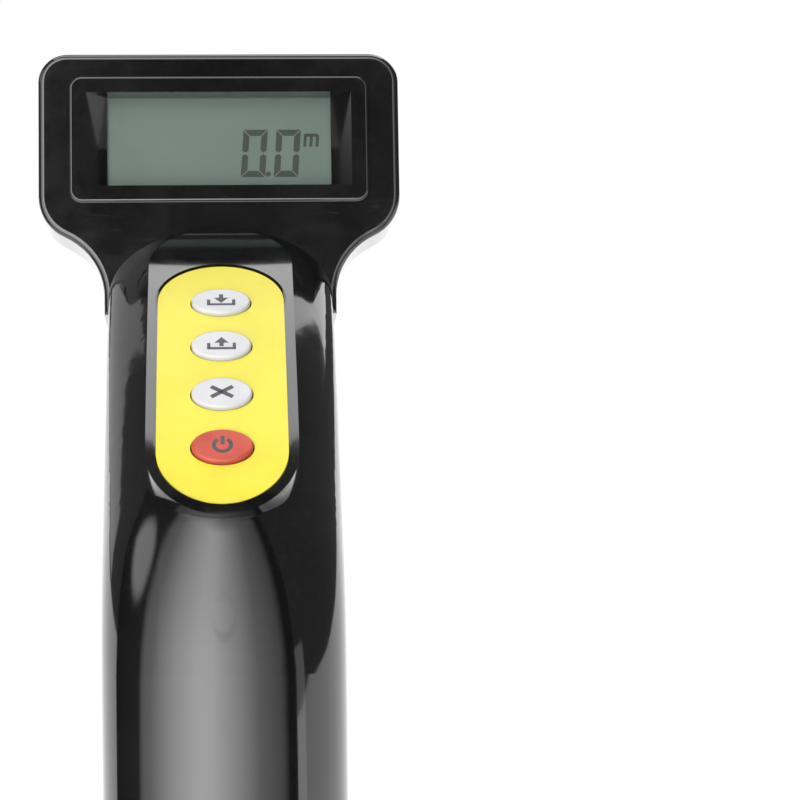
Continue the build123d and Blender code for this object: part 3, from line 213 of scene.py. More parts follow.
screenBuild = bmesh.new()
columns, rows = frontScreen["steps"]
acrossFirst, acrossLast = frontScreen["acrossGlow"][0][0], frontScreen["acrossGlow"][-1][0]
upFirst, upLast = frontScreen["upGlow"][0][0], frontScreen["upGlow"][-1][0]
screenGlow, screenGrid = [], []
for row in range(rows + 1):
    elevation = upFirst + (upLast - upFirst) * row / rows
    screenGrid.append([])
    for column in range(columns + 1):
        azimuth = acrossFirst + (acrossLast - acrossFirst) * column / columns
        onScreen = displayMiddle + wayOut(azimuth, elevation) * frontScreen["radius"]
        screenGrid[-1].append(screenBuild.verts.new(onScreen))
        level = screenLevel(azimuth, elevation) * (1 - gapShare(azimuth, elevation))
        fromSide = farFrom((azimuth, elevation), frontScreen["sideAt"], frontScreen["sideHalf"])
        screenGlow.append(level + frontScreen["sideGlow"] * softEdge(fromSide))
joinRows(screenBuild, screenGrid)


# stage piece that glows by a level at each of its points
def hangGlow(name, build, levels, seeThrough):
    mesh = finishMesh(build, name)
    mesh.attributes.new("glow", "FLOAT", "POINT").data.foreach_set("value", levels)
    paper = bpy.data.materials.new(name)
    paper.use_nodes = True
    tree = paper.node_tree
    tree.nodes.clear()
    glowRead = tree.nodes.new("ShaderNodeAttribute")
    glowRead.attribute_name = "glow"
    glowLight = tree.nodes.new("ShaderNodeEmission")
    tree.links.new(glowRead.outputs["Fac"], glowLight.inputs["Strength"])
    shown = glowLight.outputs["Emission"]
    if seeThrough:
        clearSheet = tree.nodes.new("ShaderNodeBsdfTransparent")
        both = tree.nodes.new("ShaderNodeAddShader")
        tree.links.new(clearSheet.outputs["BSDF"], both.inputs[0])
        tree.links.new(shown, both.inputs[1])
        shown = both.outputs["Shader"]
    paperOut = tree.nodes.new("ShaderNodeOutputMaterial")
    tree.links.new(shown, paperOut.inputs["Surface"])
    mesh.materials.append(paper)
    hung = hangObject(name, mesh)
    hung.visible_camera = False
    hung.visible_shadow = False


hangGlow("front_screen", screenBuild, screenGlow, False)

cardBuild = bmesh.new()
gapAcross, gapUp = frontScreen["gapAt"]
halfAcross, halfUp = frontScreen["gapHalf"]
cardStart = displayMiddle + Vector(fillCard["fromDisplay"])
cardSteps = fillCard["steps"]
cardGlow, cardGrid = [], []
for row in range(cardSteps + 1):
    cardGrid.append([])
    elevation = gapUp + halfUp * softReach * (2 * row / cardSteps - 1)
    for column in range(cardSteps + 1):
        azimuth = gapAcross + halfAcross * softReach * (2 * column / cardSteps - 1)
        onScreen = displayMiddle + wayOut(azimuth, elevation) * frontScreen["radius"]
        towardScreen = (onScreen - cardStart).normalized()
        cardGrid[-1].append(cardBuild.verts.new(cardStart + towardScreen * fillCard["away"]))
        cardGlow.append(screenLevel(azimuth, elevation) * gapShare(azimuth, elevation))
joinRows(cardBuild, cardGrid)
hangGlow("fill_card", cardBuild, cardGlow, True)

room = bpy.data.worlds.new("studioRoom")
bpy.context.scene.world = room
room.use_nodes = True
roomNodes = room.node_tree.nodes
roomLinks = room.node_tree.links
roomNodes.clear()
roomOut = roomNodes.new("ShaderNodeOutputWorld")
roomMix = roomNodes.new("ShaderNodeMixShader")
rayKind = roomNodes.new("ShaderNodeLightPath")
dimWall = roomNodes.new("ShaderNodeBackground")
paleWall = roomNodes.new("ShaderNodeBackground")
dimWall.inputs["Color"].default_value = (1.0, 1.0, 1.0, 1)
dimWall.inputs["Strength"].default_value = studio["roomLight"]
paleWall.inputs["Color"].default_value = (1.0, 1.0, 1.0, 1)
paleWall.inputs["Strength"].default_value = studio["roomShown"]
roomLinks.new(rayKind.outputs["Is Camera Ray"], roomMix.inputs["Fac"])
roomLinks.new(dimWall.outputs["Background"], roomMix.inputs[1])
roomLinks.new(paleWall.outputs["Background"], roomMix.inputs[2])
roomLinks.new(roomMix.outputs["Shader"], roomOut.inputs["Surface"])

print("surface effects")


# tree, its input node and its output node
def startGroup(name, inputs, outputs):
    tree = bpy.data.node_groups.new(name, "ShaderNodeTree")
    for label, kind, value in inputs:
        socket = tree.interface.new_socket(name=label, in_out="INPUT", socket_type=kind)
        if kind == "NodeSocketFloat":
            socket.default_value = value
    for label in outputs:
        tree.interface.new_socket(name=label, in_out="OUTPUT", socket_type="NodeSocketFloat")
    return tree, tree.nodes.new("NodeGroupInput"), tree.nodes.new("NodeGroupOutput")


def addMath(tree, operation, first, second=None, clamp=False):
    node = tree.nodes.new("ShaderNodeMath")
    node.operation = operation
    node.use_clamp = clamp
    for number, value in enumerate((first, second)):
        if value is None:
            continue
        if isinstance(value, (int, float)):
            node.inputs[number].default_value = value
        else:
            tree.links.new(value, node.inputs[number])
    return node.outputs[0]


def addNoise(tree, vector, scale, detail=2.0, roughness=0.5, distortion=0.0):
    node = tree.nodes.new("ShaderNodeTexNoise")
    node.inputs["Detail"].default_value = detail
    node.inputs["Roughness"].default_value = roughness
    node.inputs["Distortion"].default_value = distortion
    tree.links.new(vector, node.inputs["Vector"])
    if isinstance(scale, (int, float)):
        node.inputs["Scale"].default_value = scale
    else:
        tree.links.new(scale, node.inputs["Scale"])
    return node.outputs["Fac"]


def addRange(tree, value, low, high, toLow=0.0, toHigh=1.0):
    node = tree.nodes.new("ShaderNodeMapRange")
    node.interpolation_type = "SMOOTHSTEP"
    for label, number in (("From Min", low), ("From Max", high), ("To Min", toLow), ("To Max", toHigh)):
        node.inputs[label].default_value = number
    tree.links.new(value, node.inputs["Value"])
    return node.outputs["Result"]


# turned, then drawn out along one axis
def addStretch(tree, vector, turnBy, stretch):
    node = tree.nodes.new("ShaderNodeMapping")
    node.vector_type = "POINT"
    node.inputs["Rotation"].default_value = turnBy
    node.inputs["Scale"].default_value = stretch
    tree.links.new(vector, node.inputs["Vector"])
    return node.outputs["Vector"]


# moulded skin: fine grain, cloudy tone and uneven gloss
mouldSkin, skinIn, skinOut = startGroup(
    "mouldSkin",
    [("Vector", "NodeSocketVector", None), ("Grain Scale", "NodeSocketFloat", 4000.0),
     ("Cloud Scale", "NodeSocketFloat", 60.0)],
    ["Height", "Tone", "Gloss"],
)
grain = addNoise(mouldSkin, skinIn.outputs["Vector"], skinIn.outputs["Grain Scale"], 3.0, 0.6)
cloud = addNoise(mouldSkin, skinIn.outputs["Vector"], skinIn.outputs["Cloud Scale"], 3.0, 0.55, 0.4)
cloudWide = addMath(mouldSkin, "MULTIPLY", skinIn.outputs["Cloud Scale"], 2.7)
gloss = addNoise(mouldSkin, skinIn.outputs["Vector"], cloudWide, 4.0, 0.6, 0.8)
mouldSkin.links.new(grain, skinOut.inputs["Height"])
mouldSkin.links.new(addRange(mouldSkin, cloud, 0.32, 0.68), skinOut.inputs["Tone"])
mouldSkin.links.new(addRange(mouldSkin, gloss, 0.3, 0.7), skinOut.inputs["Gloss"])

# hairline scratches from handling, in two crossing directions
hairScratches, hairIn, hairOut = startGroup(
    "hairScratches",
    [("Vector", "NodeSocketVector", None), ("Scale", "NodeSocketFloat", 300.0)],
    ["Mask"],
)
strokes = []
for turnBy, stretch in (((0.3, 0.5, 0.4), (1, 22, 1)), ((1.1, -0.4, 1.3), (1, 1, 26))):
    laid = addStretch(hairScratches, hairIn.outputs["Vector"], turnBy, stretch)
    stroke = addNoise(hairScratches, laid, hairIn.outputs["Scale"], 1.0, 0.4)
    strokes.append(addRange(hairScratches, stroke, 0.70, 0.76))
bothStrokes = addMath(hairScratches, "MAXIMUM", strokes[0], strokes[1])
patchy = addRange(hairScratches, addNoise(hairScratches, hairIn.outputs["Vector"], 45.0), 0.42, 0.62)
hairScratches.links.new(addMath(hairScratches, "MULTIPLY", bothStrokes, patchy), hairOut.inputs["Mask"])

# drawing and polishing lines that run along the pole, tubes and rods
drawnLines, drawnIn, drawnOut = startGroup(
    "drawnLines",
    [("Vector", "NodeSocketVector", None), ("Scale", "NodeSocketFloat", 900.0)],
    ["Height", "Streak"],
)
laid = addStretch(drawnLines, drawnIn.outputs["Vector"], (-poleLean, 0, 0), (1, 1, 0.02))
streak = addNoise(drawnLines, laid, drawnIn.outputs["Scale"], 3.0, 0.65)
drawnLines.links.new(streak, drawnOut.inputs["Height"])
drawnLines.links.new(addRange(drawnLines, streak, 0.3, 0.7), drawnOut.inputs["Streak"])

# dust that has settled on upper faces, in specks
settledDust, dustIn, dustOut = startGroup(
    "settledDust",
    [("Vector", "NodeSocketVector", None), ("Normal", "NodeSocketVector", None),
     ("Scale", "NodeSocketFloat", 140.0)],
    ["Mask"],
)
facing = settledDust.nodes.new("ShaderNodeSeparateXYZ")
settledDust.links.new(dustIn.outputs["Normal"], facing.inputs["Vector"])
upward = addRange(settledDust, facing.outputs["Z"], -0.2, 0.9, 0.15, 1.0)
speckled = addNoise(settledDust, dustIn.outputs["Vector"], dustIn.outputs["Scale"], 5.0, 0.75)
specks = addRange(settledDust, speckled, 0.5, 0.72)
settledDust.links.new(addMath(settledDust, "MULTIPLY", upward, specks), dustOut.inputs["Mask"])

print("finishes")


def placeGroup(tree, group, **values):
    node = tree.nodes.new("ShaderNodeGroup")
    node.node_tree = group
    for label, value in values.items():
        node.inputs[label.replace("_", " ")].default_value = value
    return node


def mixColour(tree, share, first, second):
    node = tree.nodes.new("ShaderNodeMix")
    node.data_type = "RGBA"
    tree.links.new(share, node.inputs["Factor"])
    for socket, value in ((node.inputs[6], first), (node.inputs[7], second)):
        if isinstance(value, tuple):
            socket.default_value = (*value, 1)
        else:
            tree.links.new(value, socket)
    return node.outputs[2]


# how far each effect raises the surface, changes its colour or dulls it
effectShares = {
    "lineRelief": 2.0,
    "lineTone": 0.35,
    "lineGloss": 0.12,
    "scratchGloss": 0.5,
    "dustGloss": 0.6,
}


# one moulded, drawn, plated or painted finish, with its own grain, wear and dust
def makeFinish(name, recipe):
    material = bpy.data.materials.new(name)
    material.use_nodes = True
    tree = material.node_tree
    shader = tree.nodes["Principled BSDF"]
    place = tree.nodes.new("ShaderNodeTexCoord")

    skin = placeGroup(tree, mouldSkin, Grain_Scale=recipe["grainScale"], Cloud_Scale=recipe["cloudScale"])
    tree.links.new(place.outputs["Object"], skin.inputs["Vector"])
    height = skin.outputs["Height"]
    colour = mixColour(tree, skin.outputs["Tone"], recipe["colour"], recipe["shade"])
    low, high = recipe["rough"]
    rough = addRange(tree, skin.outputs["Gloss"], 0.0, 1.0, low, high)

    if "drawn" in recipe:
        lines = placeGroup(tree, drawnLines, Scale=recipe["drawn"])
        tree.links.new(place.outputs["Object"], lines.inputs["Vector"])
        relief = addMath(tree, "MULTIPLY", lines.outputs["Height"], effectShares["lineRelief"])
        height = addMath(tree, "ADD", relief, height)
        streaked = addMath(tree, "MULTIPLY", lines.outputs["Streak"], effectShares["lineTone"])
        colour = mixColour(tree, streaked, colour, recipe["shade"])
        dulled = addMath(tree, "MULTIPLY", lines.outputs["Streak"], effectShares["lineGloss"])
        rough = addMath(tree, "ADD", rough, dulled)
    if "scratch" in recipe:
        hair = placeGroup(tree, hairScratches, Scale=recipe["scratchScale"])
        tree.links.new(place.outputs["Object"], hair.inputs["Vector"])
        marks = addMath(tree, "MULTIPLY", hair.outputs["Mask"], recipe["scratch"])
        colour = mixColour(tree, marks, colour, recipe["scratchColour"])
        dulled = addMath(tree, "MULTIPLY", marks, effectShares["scratchGloss"])
        rough = addMath(tree, "ADD", rough, dulled, clamp=True)
    if "dust" in recipe:
        dust = placeGroup(tree, settledDust, Scale=recipe["dustScale"])
        tree.links.new(place.outputs["Object"], dust.inputs["Vector"])
        tree.links.new(place.outputs["Normal"], dust.inputs["Normal"])
        film = addMath(tree, "MULTIPLY", dust.outputs["Mask"], recipe["dust"])
        colour = mixColour(tree, film, colour, recipe["dustColour"])
        dulled = addMath(tree, "MULTIPLY", film, effectShares["dustGloss"])
        rough = addMath(tree, "ADD", rough, dulled, clamp=True)

    bump = tree.nodes.new("ShaderNodeBump")
    bump.inputs["Strength"].default_value = 1.0
    bump.inputs["Distance"].default_value = recipe["grainDepth"]
    tree.links.new(height, bump.inputs["Height"])
    tree.links.new(bump.outputs["Normal"], shader.inputs["Normal"])
    tree.links.new(colour, shader.inputs["Base Color"])
    tree.links.new(rough, shader.inputs["Roughness"])
    shader.inputs["Metallic"].default_value = recipe.get("metal", 0.0)
    shader.inputs["IOR"].default_value = recipe.get("ior", 1.5)
    shader.inputs["Coat Weight"].default_value = recipe.get("coat", 0.0)
    shader.inputs["Coat Roughness"].default_value = recipe.get("coatRough", 0.1)
    shader.inputs["Alpha"].default_value = recipe.get("clear", 1.0)
    return material


# grain is its scale and its depth in metres
def look(colour, shade, rough, grain, cloud, **more):
    return dict(colour=colour, shade=shade, rough=rough, grainScale=grain[0], grainDepth=grain[1],
                cloudScale=cloud, **more)


paleDust = (0.42, 0.38, 0.32)
roadDust = (0.30, 0.26, 0.20)
handled = dict(scratch=0.35, scratchScale=260.0, scratchColour=(0.10, 0.10, 0.10))
looks = {
    "shell_black": look((0.0050, 0.0050, 0.0055), (0.0075, 0.0072, 0.0070), (0.07, 0.11),
                        (2600.0, 0.0000010), 38.0, ior=1.6, coat=1.0, coatRough=0.05,
                        scratch=0.10, scratchScale=240.0, scratchColour=(0.05, 0.05, 0.05),
                        dust=0.02, dustScale=900.0, dustColour=paleDust),
    "keypad_yellow": look((0.74, 0.66, 0.055), (0.70, 0.61, 0.045), (0.30, 0.42), (5200.0, 0.000004), 70.0,
                          scratch=0.10, scratchScale=330.0, scratchColour=(0.85, 0.80, 0.35)),
    "key_white": look((0.60, 0.60, 0.62), (0.55, 0.55, 0.57), (0.30, 0.40), (6000.0, 0.000004), 120.0,
                      scratch=0.12, scratchScale=420.0, scratchColour=(0.45, 0.45, 0.46)),
    "key_red": look((0.56, 0.085, 0.055), (0.40, 0.055, 0.035), (0.28, 0.38), (6000.0, 0.000004), 110.0,
                    scratch=0.15, scratchScale=420.0, scratchColour=(0.70, 0.25, 0.18)),
    "clear_window": look((0.02, 0.022, 0.021), (0.03, 0.03, 0.03), (0.03, 0.06), (1500.0, 0.0000004), 60.0,
                         clear=0.10, scratch=0.2, scratchScale=200.0, scratchColour=(0.5, 0.5, 0.5)),
    "lcd_grey": look((0.120, 0.168, 0.144), (0.109, 0.156, 0.134), (0.38, 0.50), (7500.0, 0.000002), 55.0),
    "inner_black": look((0.020, 0.020, 0.021), (0.028, 0.027, 0.026), (0.45, 0.60), (3600.0, 0.000008), 80.0,
                        dust=0.08, dustScale=400.0, dustColour=paleDust),
    "zebra_pink": look((0.52, 0.33, 0.36), (0.42, 0.24, 0.27), (0.55, 0.70), (2600.0, 0.00001), 300.0),
    "board_green": look((0.018, 0.14, 0.055), (0.012, 0.09, 0.035), (0.22, 0.35), (1500.0, 0.00001), 260.0,
                        scratch=0.3, scratchScale=500.0, scratchColour=(0.35, 0.45, 0.20)),
    "chip_black": look((0.018, 0.018, 0.018), (0.028, 0.027, 0.026), (0.5, 0.65), (5000.0, 0.000008), 200.0),
    "part_tan": look((0.45, 0.30, 0.16), (0.32, 0.20, 0.10), (0.35, 0.5), (4000.0, 0.000008), 400.0),
    "plug_white": look((0.72, 0.71, 0.64), (0.62, 0.60, 0.52), (0.40, 0.55), (3800.0, 0.000008), 180.0),
    "spring_steel": look((0.62, 0.62, 0.60), (0.45, 0.44, 0.42), (0.22, 0.34), (3000.0, 0.000005), 220.0,
                         metal=1.0, drawn=1500.0),
    "cell_wrap": look((0.24, 0.30, 0.38), (0.20, 0.25, 0.33), (0.25, 0.36), (1800.0, 0.000006), 120.0,
                      metal=0.4, coat=0.4),
    "screw_steel": look((0.50, 0.50, 0.51), (0.36, 0.35, 0.34), (0.25, 0.42), (2800.0, 0.000008), 340.0,
                        metal=1.0, scratch=0.5, scratchScale=600.0, scratchColour=(0.75, 0.75, 0.75)),
    "tube_silver": look((0.70, 0.71, 0.73), (0.55, 0.56, 0.58), (0.24, 0.34), (3600.0, 0.000004), 24.0,
                        metal=1.0, drawn=1300.0,
                        scratch=0.3, scratchScale=140.0, scratchColour=(0.85, 0.85, 0.86)),
    "tube_black": look((0.016, 0.016, 0.017), (0.026, 0.025, 0.025), (0.34, 0.46), (2600.0, 0.00002), 40.0,
                       coat=0.15, dust=0.10, dustScale=260.0, dustColour=roadDust, **handled),
    "bush_grey": look((0.26, 0.26, 0.27), (0.20, 0.20, 0.205), (0.42, 0.55), (3200.0, 0.000008), 120.0,
                      scratch=0.2, scratchScale=300.0, scratchColour=(0.4, 0.4, 0.4)),
    "crown_black": look((0.020, 0.020, 0.021), (0.032, 0.031, 0.030), (0.36, 0.50), (2200.0, 0.00003), 45.0,
                        dust=0.16, dustScale=240.0, dustColour=roadDust, **handled),
    "lever_yellow": look((0.76, 0.66, 0.05), (0.68, 0.57, 0.04), (0.22, 0.34), (2800.0, 0.000006), 60.0,
                         scratch=0.3, scratchScale=260.0, scratchColour=(0.90, 0.84, 0.45)),
    "arm_black": look((0.018, 0.018, 0.019), (0.030, 0.029, 0.028), (0.38, 0.52), (2000.0, 0.00003), 36.0,
                      coat=0.1, dust=0.16, dustScale=220.0, dustColour=roadDust, **handled),
    "tyre_rubber": look((0.020, 0.020, 0.020), (0.040, 0.038, 0.035), (0.58, 0.78), (1500.0, 0.00006), 34.0,
                        dust=0.30, dustScale=180.0, dustColour=roadDust),
    "wheel_yellow": look((0.76, 0.66, 0.045), (0.70, 0.58, 0.038), (0.24, 0.38), (1800.0, 0.000012), 26.0,
                         scratch=0.30, scratchScale=150.0, scratchColour=(0.92, 0.86, 0.50),
                         dust=0.10, dustScale=200.0, dustColour=roadDust),
    "ring_black": look((0.026, 0.026, 0.027), (0.038, 0.037, 0.036), (0.42, 0.56), (2600.0, 0.00002), 70.0,
                       dust=0.12, dustScale=260.0, dustColour=roadDust),
    "magnet_nickel": look((0.72, 0.71, 0.68), (0.60, 0.58, 0.54), (0.12, 0.24), (2500.0, 0.000004), 400.0,
                          metal=1.0, scratch=0.4, scratchScale=700.0, scratchColour=(0.85, 0.85, 0.83)),
    "bearing_steel": look((0.66, 0.66, 0.67), (0.52, 0.52, 0.53), (0.12, 0.22), (3000.0, 0.000003), 300.0,
                          metal=1.0),
    "axle_steel": look((0.55, 0.55, 0.56), (0.40, 0.39, 0.37), (0.26, 0.42), (2600.0, 0.000008), 260.0,
                       metal=1.0, scratch=0.5, scratchScale=500.0, scratchColour=(0.72, 0.72, 0.72)),
    "stand_steel": look((0.64, 0.64, 0.65), (0.48, 0.47, 0.46), (0.16, 0.30), (2400.0, 0.000006), 50.0,
                        metal=1.0, drawn=1100.0,
                        scratch=0.5, scratchScale=220.0, scratchColour=(0.80, 0.80, 0.80)),
    "foot_rubber": look((0.020, 0.020, 0.020), (0.036, 0.035, 0.033), (0.60, 0.80), (1700.0, 0.00005), 60.0,
                        dust=0.30, dustScale=220.0, dustColour=roadDust),
    "lead_black": look((0.018, 0.018, 0.018), (0.028, 0.027, 0.027), (0.42, 0.58), (3000.0, 0.00001), 160.0,
                       dust=0.12, dustScale=400.0, dustColour=roadDust),
}
finishes = {name: makeFinish(name, settings) for name, settings in looks.items()}
inkDark = makeFinish("display_ink", look((0.012, 0.020, 0.014), (0.016, 0.026, 0.018), (0.35, 0.45),
                                         (6000.0, 0.000001), 200.0))
printDark = makeFinish("key_print", look((0.055, 0.055, 0.060), (0.075, 0.075, 0.080), (0.35, 0.50),
                                         (7000.0, 0.000002), 500.0))

# the finish that each carried-over node takes; a few differ from the slot that the record names
nodeFinish = {
    "shell_black": ["front_shell", "rear_shell", "battery_door", "end_collar"],
    "keypad_yellow": ["keypad_plate"],
    "key_white": ["key_store", "key_recall", "key_clear"],
    "key_red": ["key_power"],
    "clear_window": ["display_window"],
    "lcd_grey": ["lcd_panel"],
    "inner_black": ["lcd_carrier", "keypad_carrier", "keypad_membrane", "battery_tray", "tube_socket",
                    "board_posts", "sensor_housing"],
    "zebra_pink": ["lcd_connector"],
    "board_green": ["main_board", "sensor_board"],
    "chip_black": ["controller_chip"],
    "part_tan": ["board_parts"],
    "plug_white": ["lead_plug"],
    "spring_steel": ["battery_contacts", "dome_switches", "stand_clips"],
    "cell_wrap": ["battery_cells"],
    "screw_steel": ["board_screws", "housing_screws", "socket_screws", "fork_bolts", "crown_screws",
                    "ring_screws", "sensor_screws"],
    "tube_silver": ["upper_tube"],
    "tube_black": ["lower_tube"],
    "bush_grey": ["guide_bush", "mouth_bush"],
    "crown_black": ["clamp_collar", "fork_crown"],
    "lever_yellow": ["clamp_lever"],
    "arm_black": ["fork_arm_left", "fork_arm_right"],
    "tyre_rubber": ["tyre"],
    "wheel_yellow": ["wheel_body"],
    "ring_black": ["magnet_ring"],
    "magnet_nickel": ["magnets"],
    "bearing_steel": ["bearing_outers", "bearing_inners", "bearing_balls"],
    "axle_steel": ["axle", "axle_nut", "axle_spacers", "lever_pin"],
    "stand_steel": ["stand_rod"],
    "foot_rubber": ["stand_sleeve"],
    "lead_black": ["sensor_lead", "coiled_lead", "handle_lead"],
}
for slotName, members in nodeFinish.items():
    for member in members:
        mesh = nodes[member].data
        mesh.materials.clear()
        mesh.materials.append(finishes[slotName])
unpainted = sorted(set(nodes) - {member for members in nodeFinish.values() for member in members})
print("unpainted nodes", unpainted)


# flat pieces with closed outlines, in millimetres on a plane
def addSign(name, outlines, origin, right, up, thick, material, body):
    out = right.cross(up)
    build = bmesh.new()
    for outline in outlines:
        corners = [origin + (right * x + up * y) * millimetre for x, y in outline]
        top = [build.verts.new(corner + out * thick) for corner in corners]
        foot = [build.verts.new(corner) for corner in corners]
        build.faces.new(top)
        for number in range(len(top)):
            following = (number + 1) % len(top)
            build.faces.new((top[following], top[number], foot[number], foot[following]))
    bmesh.ops.recalc_face_normals(build, faces=build.faces)
    mesh = finishMesh(build, name)
    mesh.materials.append(material)
    sign = hangObject(name, mesh)
    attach(sign, body)


# straight stroke between two points, square ended
def bar(x0, y0, x1, y1, width):
    along = Vector((x1 - x0, y1 - y0)).normalized()
    side = Vector((-along.y, along.x)) * width / 2
    return [(x0 + side.x, y0 + side.y), (x0 - side.x, y0 - side.y),
            (x1 - side.x, y1 - side.y), (x1 + side.x, y1 + side.y)]


def slanted(outlines, slope):
    return [[(x + y * slope, y) for x, y in outline] for outline in outlines]


def moved(outlines, dx, dy):
    return [[(x + dx, y + dy) for x, y in outline] for outline in outlines]


print("display figures")
figures = {
    "width": 4.9,
    "height": 9.7,
    "stroke": 1.25,
    "break": 0.13,
    "slope": 0.07,
    "baseline": -6.95,
    "starts": (4.25, 10.90),
    "point": (9.80, -6.35, 1.05),
    "unitAt": (16.9, -0.75),
    "unitSize": (3.1, 2.6),
    "unitStroke": 0.62,
    "legDrop": 0.2,          # the unit's legs end this far below its top
    "armDrop": 0.25,         # and its arm runs this far below it
    "armInset": (0.1, 0.35),
    "pointCorners": 16,
    "thick": 0.00003,
}
signLift = 0.00001      # between a sign and the face that it lies on


# six mitred strokes round a nought
def figureZero(width, height, stroke, gap):
    half = stroke / 2
    left, right, low, high = half, width - half, half, height - half
    mid = height / 2
    strokes = []
    for y, inward in ((low, 1), (high, -1)):
        strokes.append([
            (left - half + gap, y - inward * half), (right + half - gap, y - inward * half),
            (right - half - gap, y + inward * half), (left + half + gap, y + inward * half)])
    for x, inward in ((left, 1), (right, -1)):
        for y0, y1, rising in ((low, mid, 1), (high, mid, -1)):
            strokes.append([
                (x - inward * half, y0 - rising * (half - gap)),
                (x + inward * half, y0 + rising * (half + gap)),
                (x + inward * half, y1 - rising * (half * 0.7 + gap)), (x, y1 - rising * gap),
                (x - inward * half, y1 - rising * (half * 0.7 + gap))])
    return strokes


upright = figureZero(figures["width"], figures["height"], figures["stroke"], figures["break"])
zero = slanted(upright, figures["slope"])
displayMarks = []
for start in figures["starts"]:
    displayMarks += moved(zero, start, figures["baseline"])
pointX, pointY, pointSize = figures["point"]
pointTurns = [2 * pi * k / figures["pointCorners"] for k in range(figures["pointCorners"])]
displayMarks.append([(pointX + pointSize / 2 * cos(angle), pointY + pointSize / 2 * sin(angle))
                     for angle in pointTurns])
unitX, unitY = figures["unitAt"]
unitWide, unitHigh = figures["unitSize"]
unitStroke = figures["unitStroke"]
legTop, armHeight = unitHigh - figures["legDrop"], unitHigh - figures["armDrop"]
armStart, armShort = figures["armInset"]
legs = [bar(x, 0, x, legTop, unitStroke) for x in (unitStroke / 2, unitWide / 2, unitWide - unitStroke / 2)]
legs += [bar(armStart, armHeight, unitWide - armShort, armHeight, unitStroke)]
displayMarks += moved(slanted(legs, figures["slope"]), unitX, unitY)
lcdThick = 0.0022       # of the display glass
lcdFace = displayMiddle + faceNormal * (lcdThick / 2 + signLift)
addSign("display_figures", displayMarks, lcdFace, acrossAxis, faceUp, figures["thick"], inkDark,
        "handle")

print("key signs")
keySigns = {
    "stroke": 0.62,
    "thick": 0.00003,
    "wide": 5.4,
    "head": 1.6,
    "headHalf": 0.85,          # of the head's length
    "tailStroke": 1.3,         # these three are shares of the stroke
    "crossStroke": 1.4,
    "ringStroke": 1.2,
    "trayEnds": (-1.45, 0.1),
    "arrowIn": (-0.95, 1.75),
    "arrowOut": (1.75, -0.85),
    "crossHalf": (2.0, 1.35),
    "ringRadius": 1.55,
    "ringArc": (125, 415),
    "ringSteps": 18,
    "ringBar": (0.15, 2.15),
}
stroke = keySigns["stroke"]
wide = keySigns["wide"] / 2
head = keySigns["head"]


def arrow(tipY, tailY):
    way = 1 if tipY > tailY else -1
    neckY = tipY - way * head
    half = head * keySigns["headHalf"]
    return [[(0, tipY), (-half, neckY), (half, neckY)],
            bar(0, neckY, 0, tailY, stroke * keySigns["tailStroke"])]


def arc(radius, first, last, steps, width):
    pieces = []
    for k in range(steps):
        a, b = (radians(first + (last - first) * (k + e) / steps) for e in (0, 1))
        inner, outer = radius - width / 2, radius + width / 2
        pieces.append([(inner * cos(a), inner * sin(a)), (outer * cos(a), outer * sin(a)),
                       (outer * cos(b), outer * sin(b)), (inner * cos(b), inner * sin(b))])
    return pieces


trayFloor, trayTop = keySigns["trayEnds"]
trayWall = wide - stroke / 2
tray = [bar(-wide, trayFloor, wide, trayFloor, stroke),
        bar(-trayWall, trayFloor, -trayWall, trayTop, stroke),
        bar(trayWall, trayFloor, trayWall, trayTop, stroke)]
crossX, crossY = keySigns["crossHalf"]
crossStroke = stroke * keySigns["crossStroke"]
ringStroke = stroke * keySigns["ringStroke"]
ringBarLow, ringBarHigh = keySigns["ringBar"]
signOutlines = {
    "key_store": tray + arrow(*keySigns["arrowIn"]),
    "key_recall": tray + arrow(*keySigns["arrowOut"]),
    "key_clear": [bar(-crossX, -crossY, crossX, crossY, crossStroke),
                  bar(-crossX, crossY, crossX, -crossY, crossStroke)],
    "key_power": arc(keySigns["ringRadius"], *keySigns["ringArc"], keySigns["ringSteps"], ringStroke)
                 + [bar(0, ringBarLow, 0, ringBarHigh, ringStroke)],
}
flatBand = 0.00001      # points this near the crest are on the key's flat top
for keyName, outlines in signOutlines.items():
    outward = -slideWay(keyName + "_press")
    keyUp = outward.cross(acrossAxis)
    keyCorners = [vertex.co for vertex in nodes[keyName].data.vertices]
    crest = max(corner.dot(outward) for corner in keyCorners)
    topPoints = [corner for corner in keyCorners if corner.dot(outward) > crest - flatBand]
    low = Vector([min(point[k] for point in topPoints) for k in range(3)])
    high = Vector([max(point[k] for point in topPoints) for k in range(3)])
    addSign(keyName + "_sign", outlines, (low + high) / 2 + outward * signLift, acrossAxis, keyUp,
            keySigns["thick"], printDark, keyName)

print("spring lead")
springLead = {
    "turns": 64,
    "pointsPerTurn": 14,
    "sides": 8,
    "leadRadius": 0.0013,
    "endTurns": 0.5,
    "steepest": 0.999,        # past this the lead runs straight up the pole
}
coilCorners = [vertex.co for vertex in nodes["coiled_lead"].data.vertices]
alongPole = [corner.dot(poleUp) for corner in coilCorners]
coilLow, coilHigh = min(alongPole), max(alongPole)
coilMiddle = middle("coiled_lead")
coilFoot = coilMiddle + poleUp * (coilLow - coilMiddle.dot(poleUp))
coilLength = coilHigh - coilLow
fromFoot = [corner - coilFoot for corner in coilCorners]
coilRadius = max((reach - poleUp * reach.dot(poleUp)).length for reach in fromFoot)
sideways = acrossAxis
forwards = poleUp.cross(sideways)
turnRadius = coilRadius - springLead["leadRadius"]
count = springLead["turns"] * springLead["pointsPerTurn"]
line = []
for k in range(count + 1):
    share = k / count
    grow = min(1.0, share * springLead["turns"] / springLead["endTurns"],
               (1 - share) * springLead["turns"] / springLead["endTurns"])
    angle = 2 * pi * springLead["turns"] * share
    outward = sideways * cos(angle) + forwards * sin(angle)
    line.append(coilFoot + poleUp * (coilLength * share) + outward * (turnRadius * grow))
springBuild = bmesh.new()
rings = []
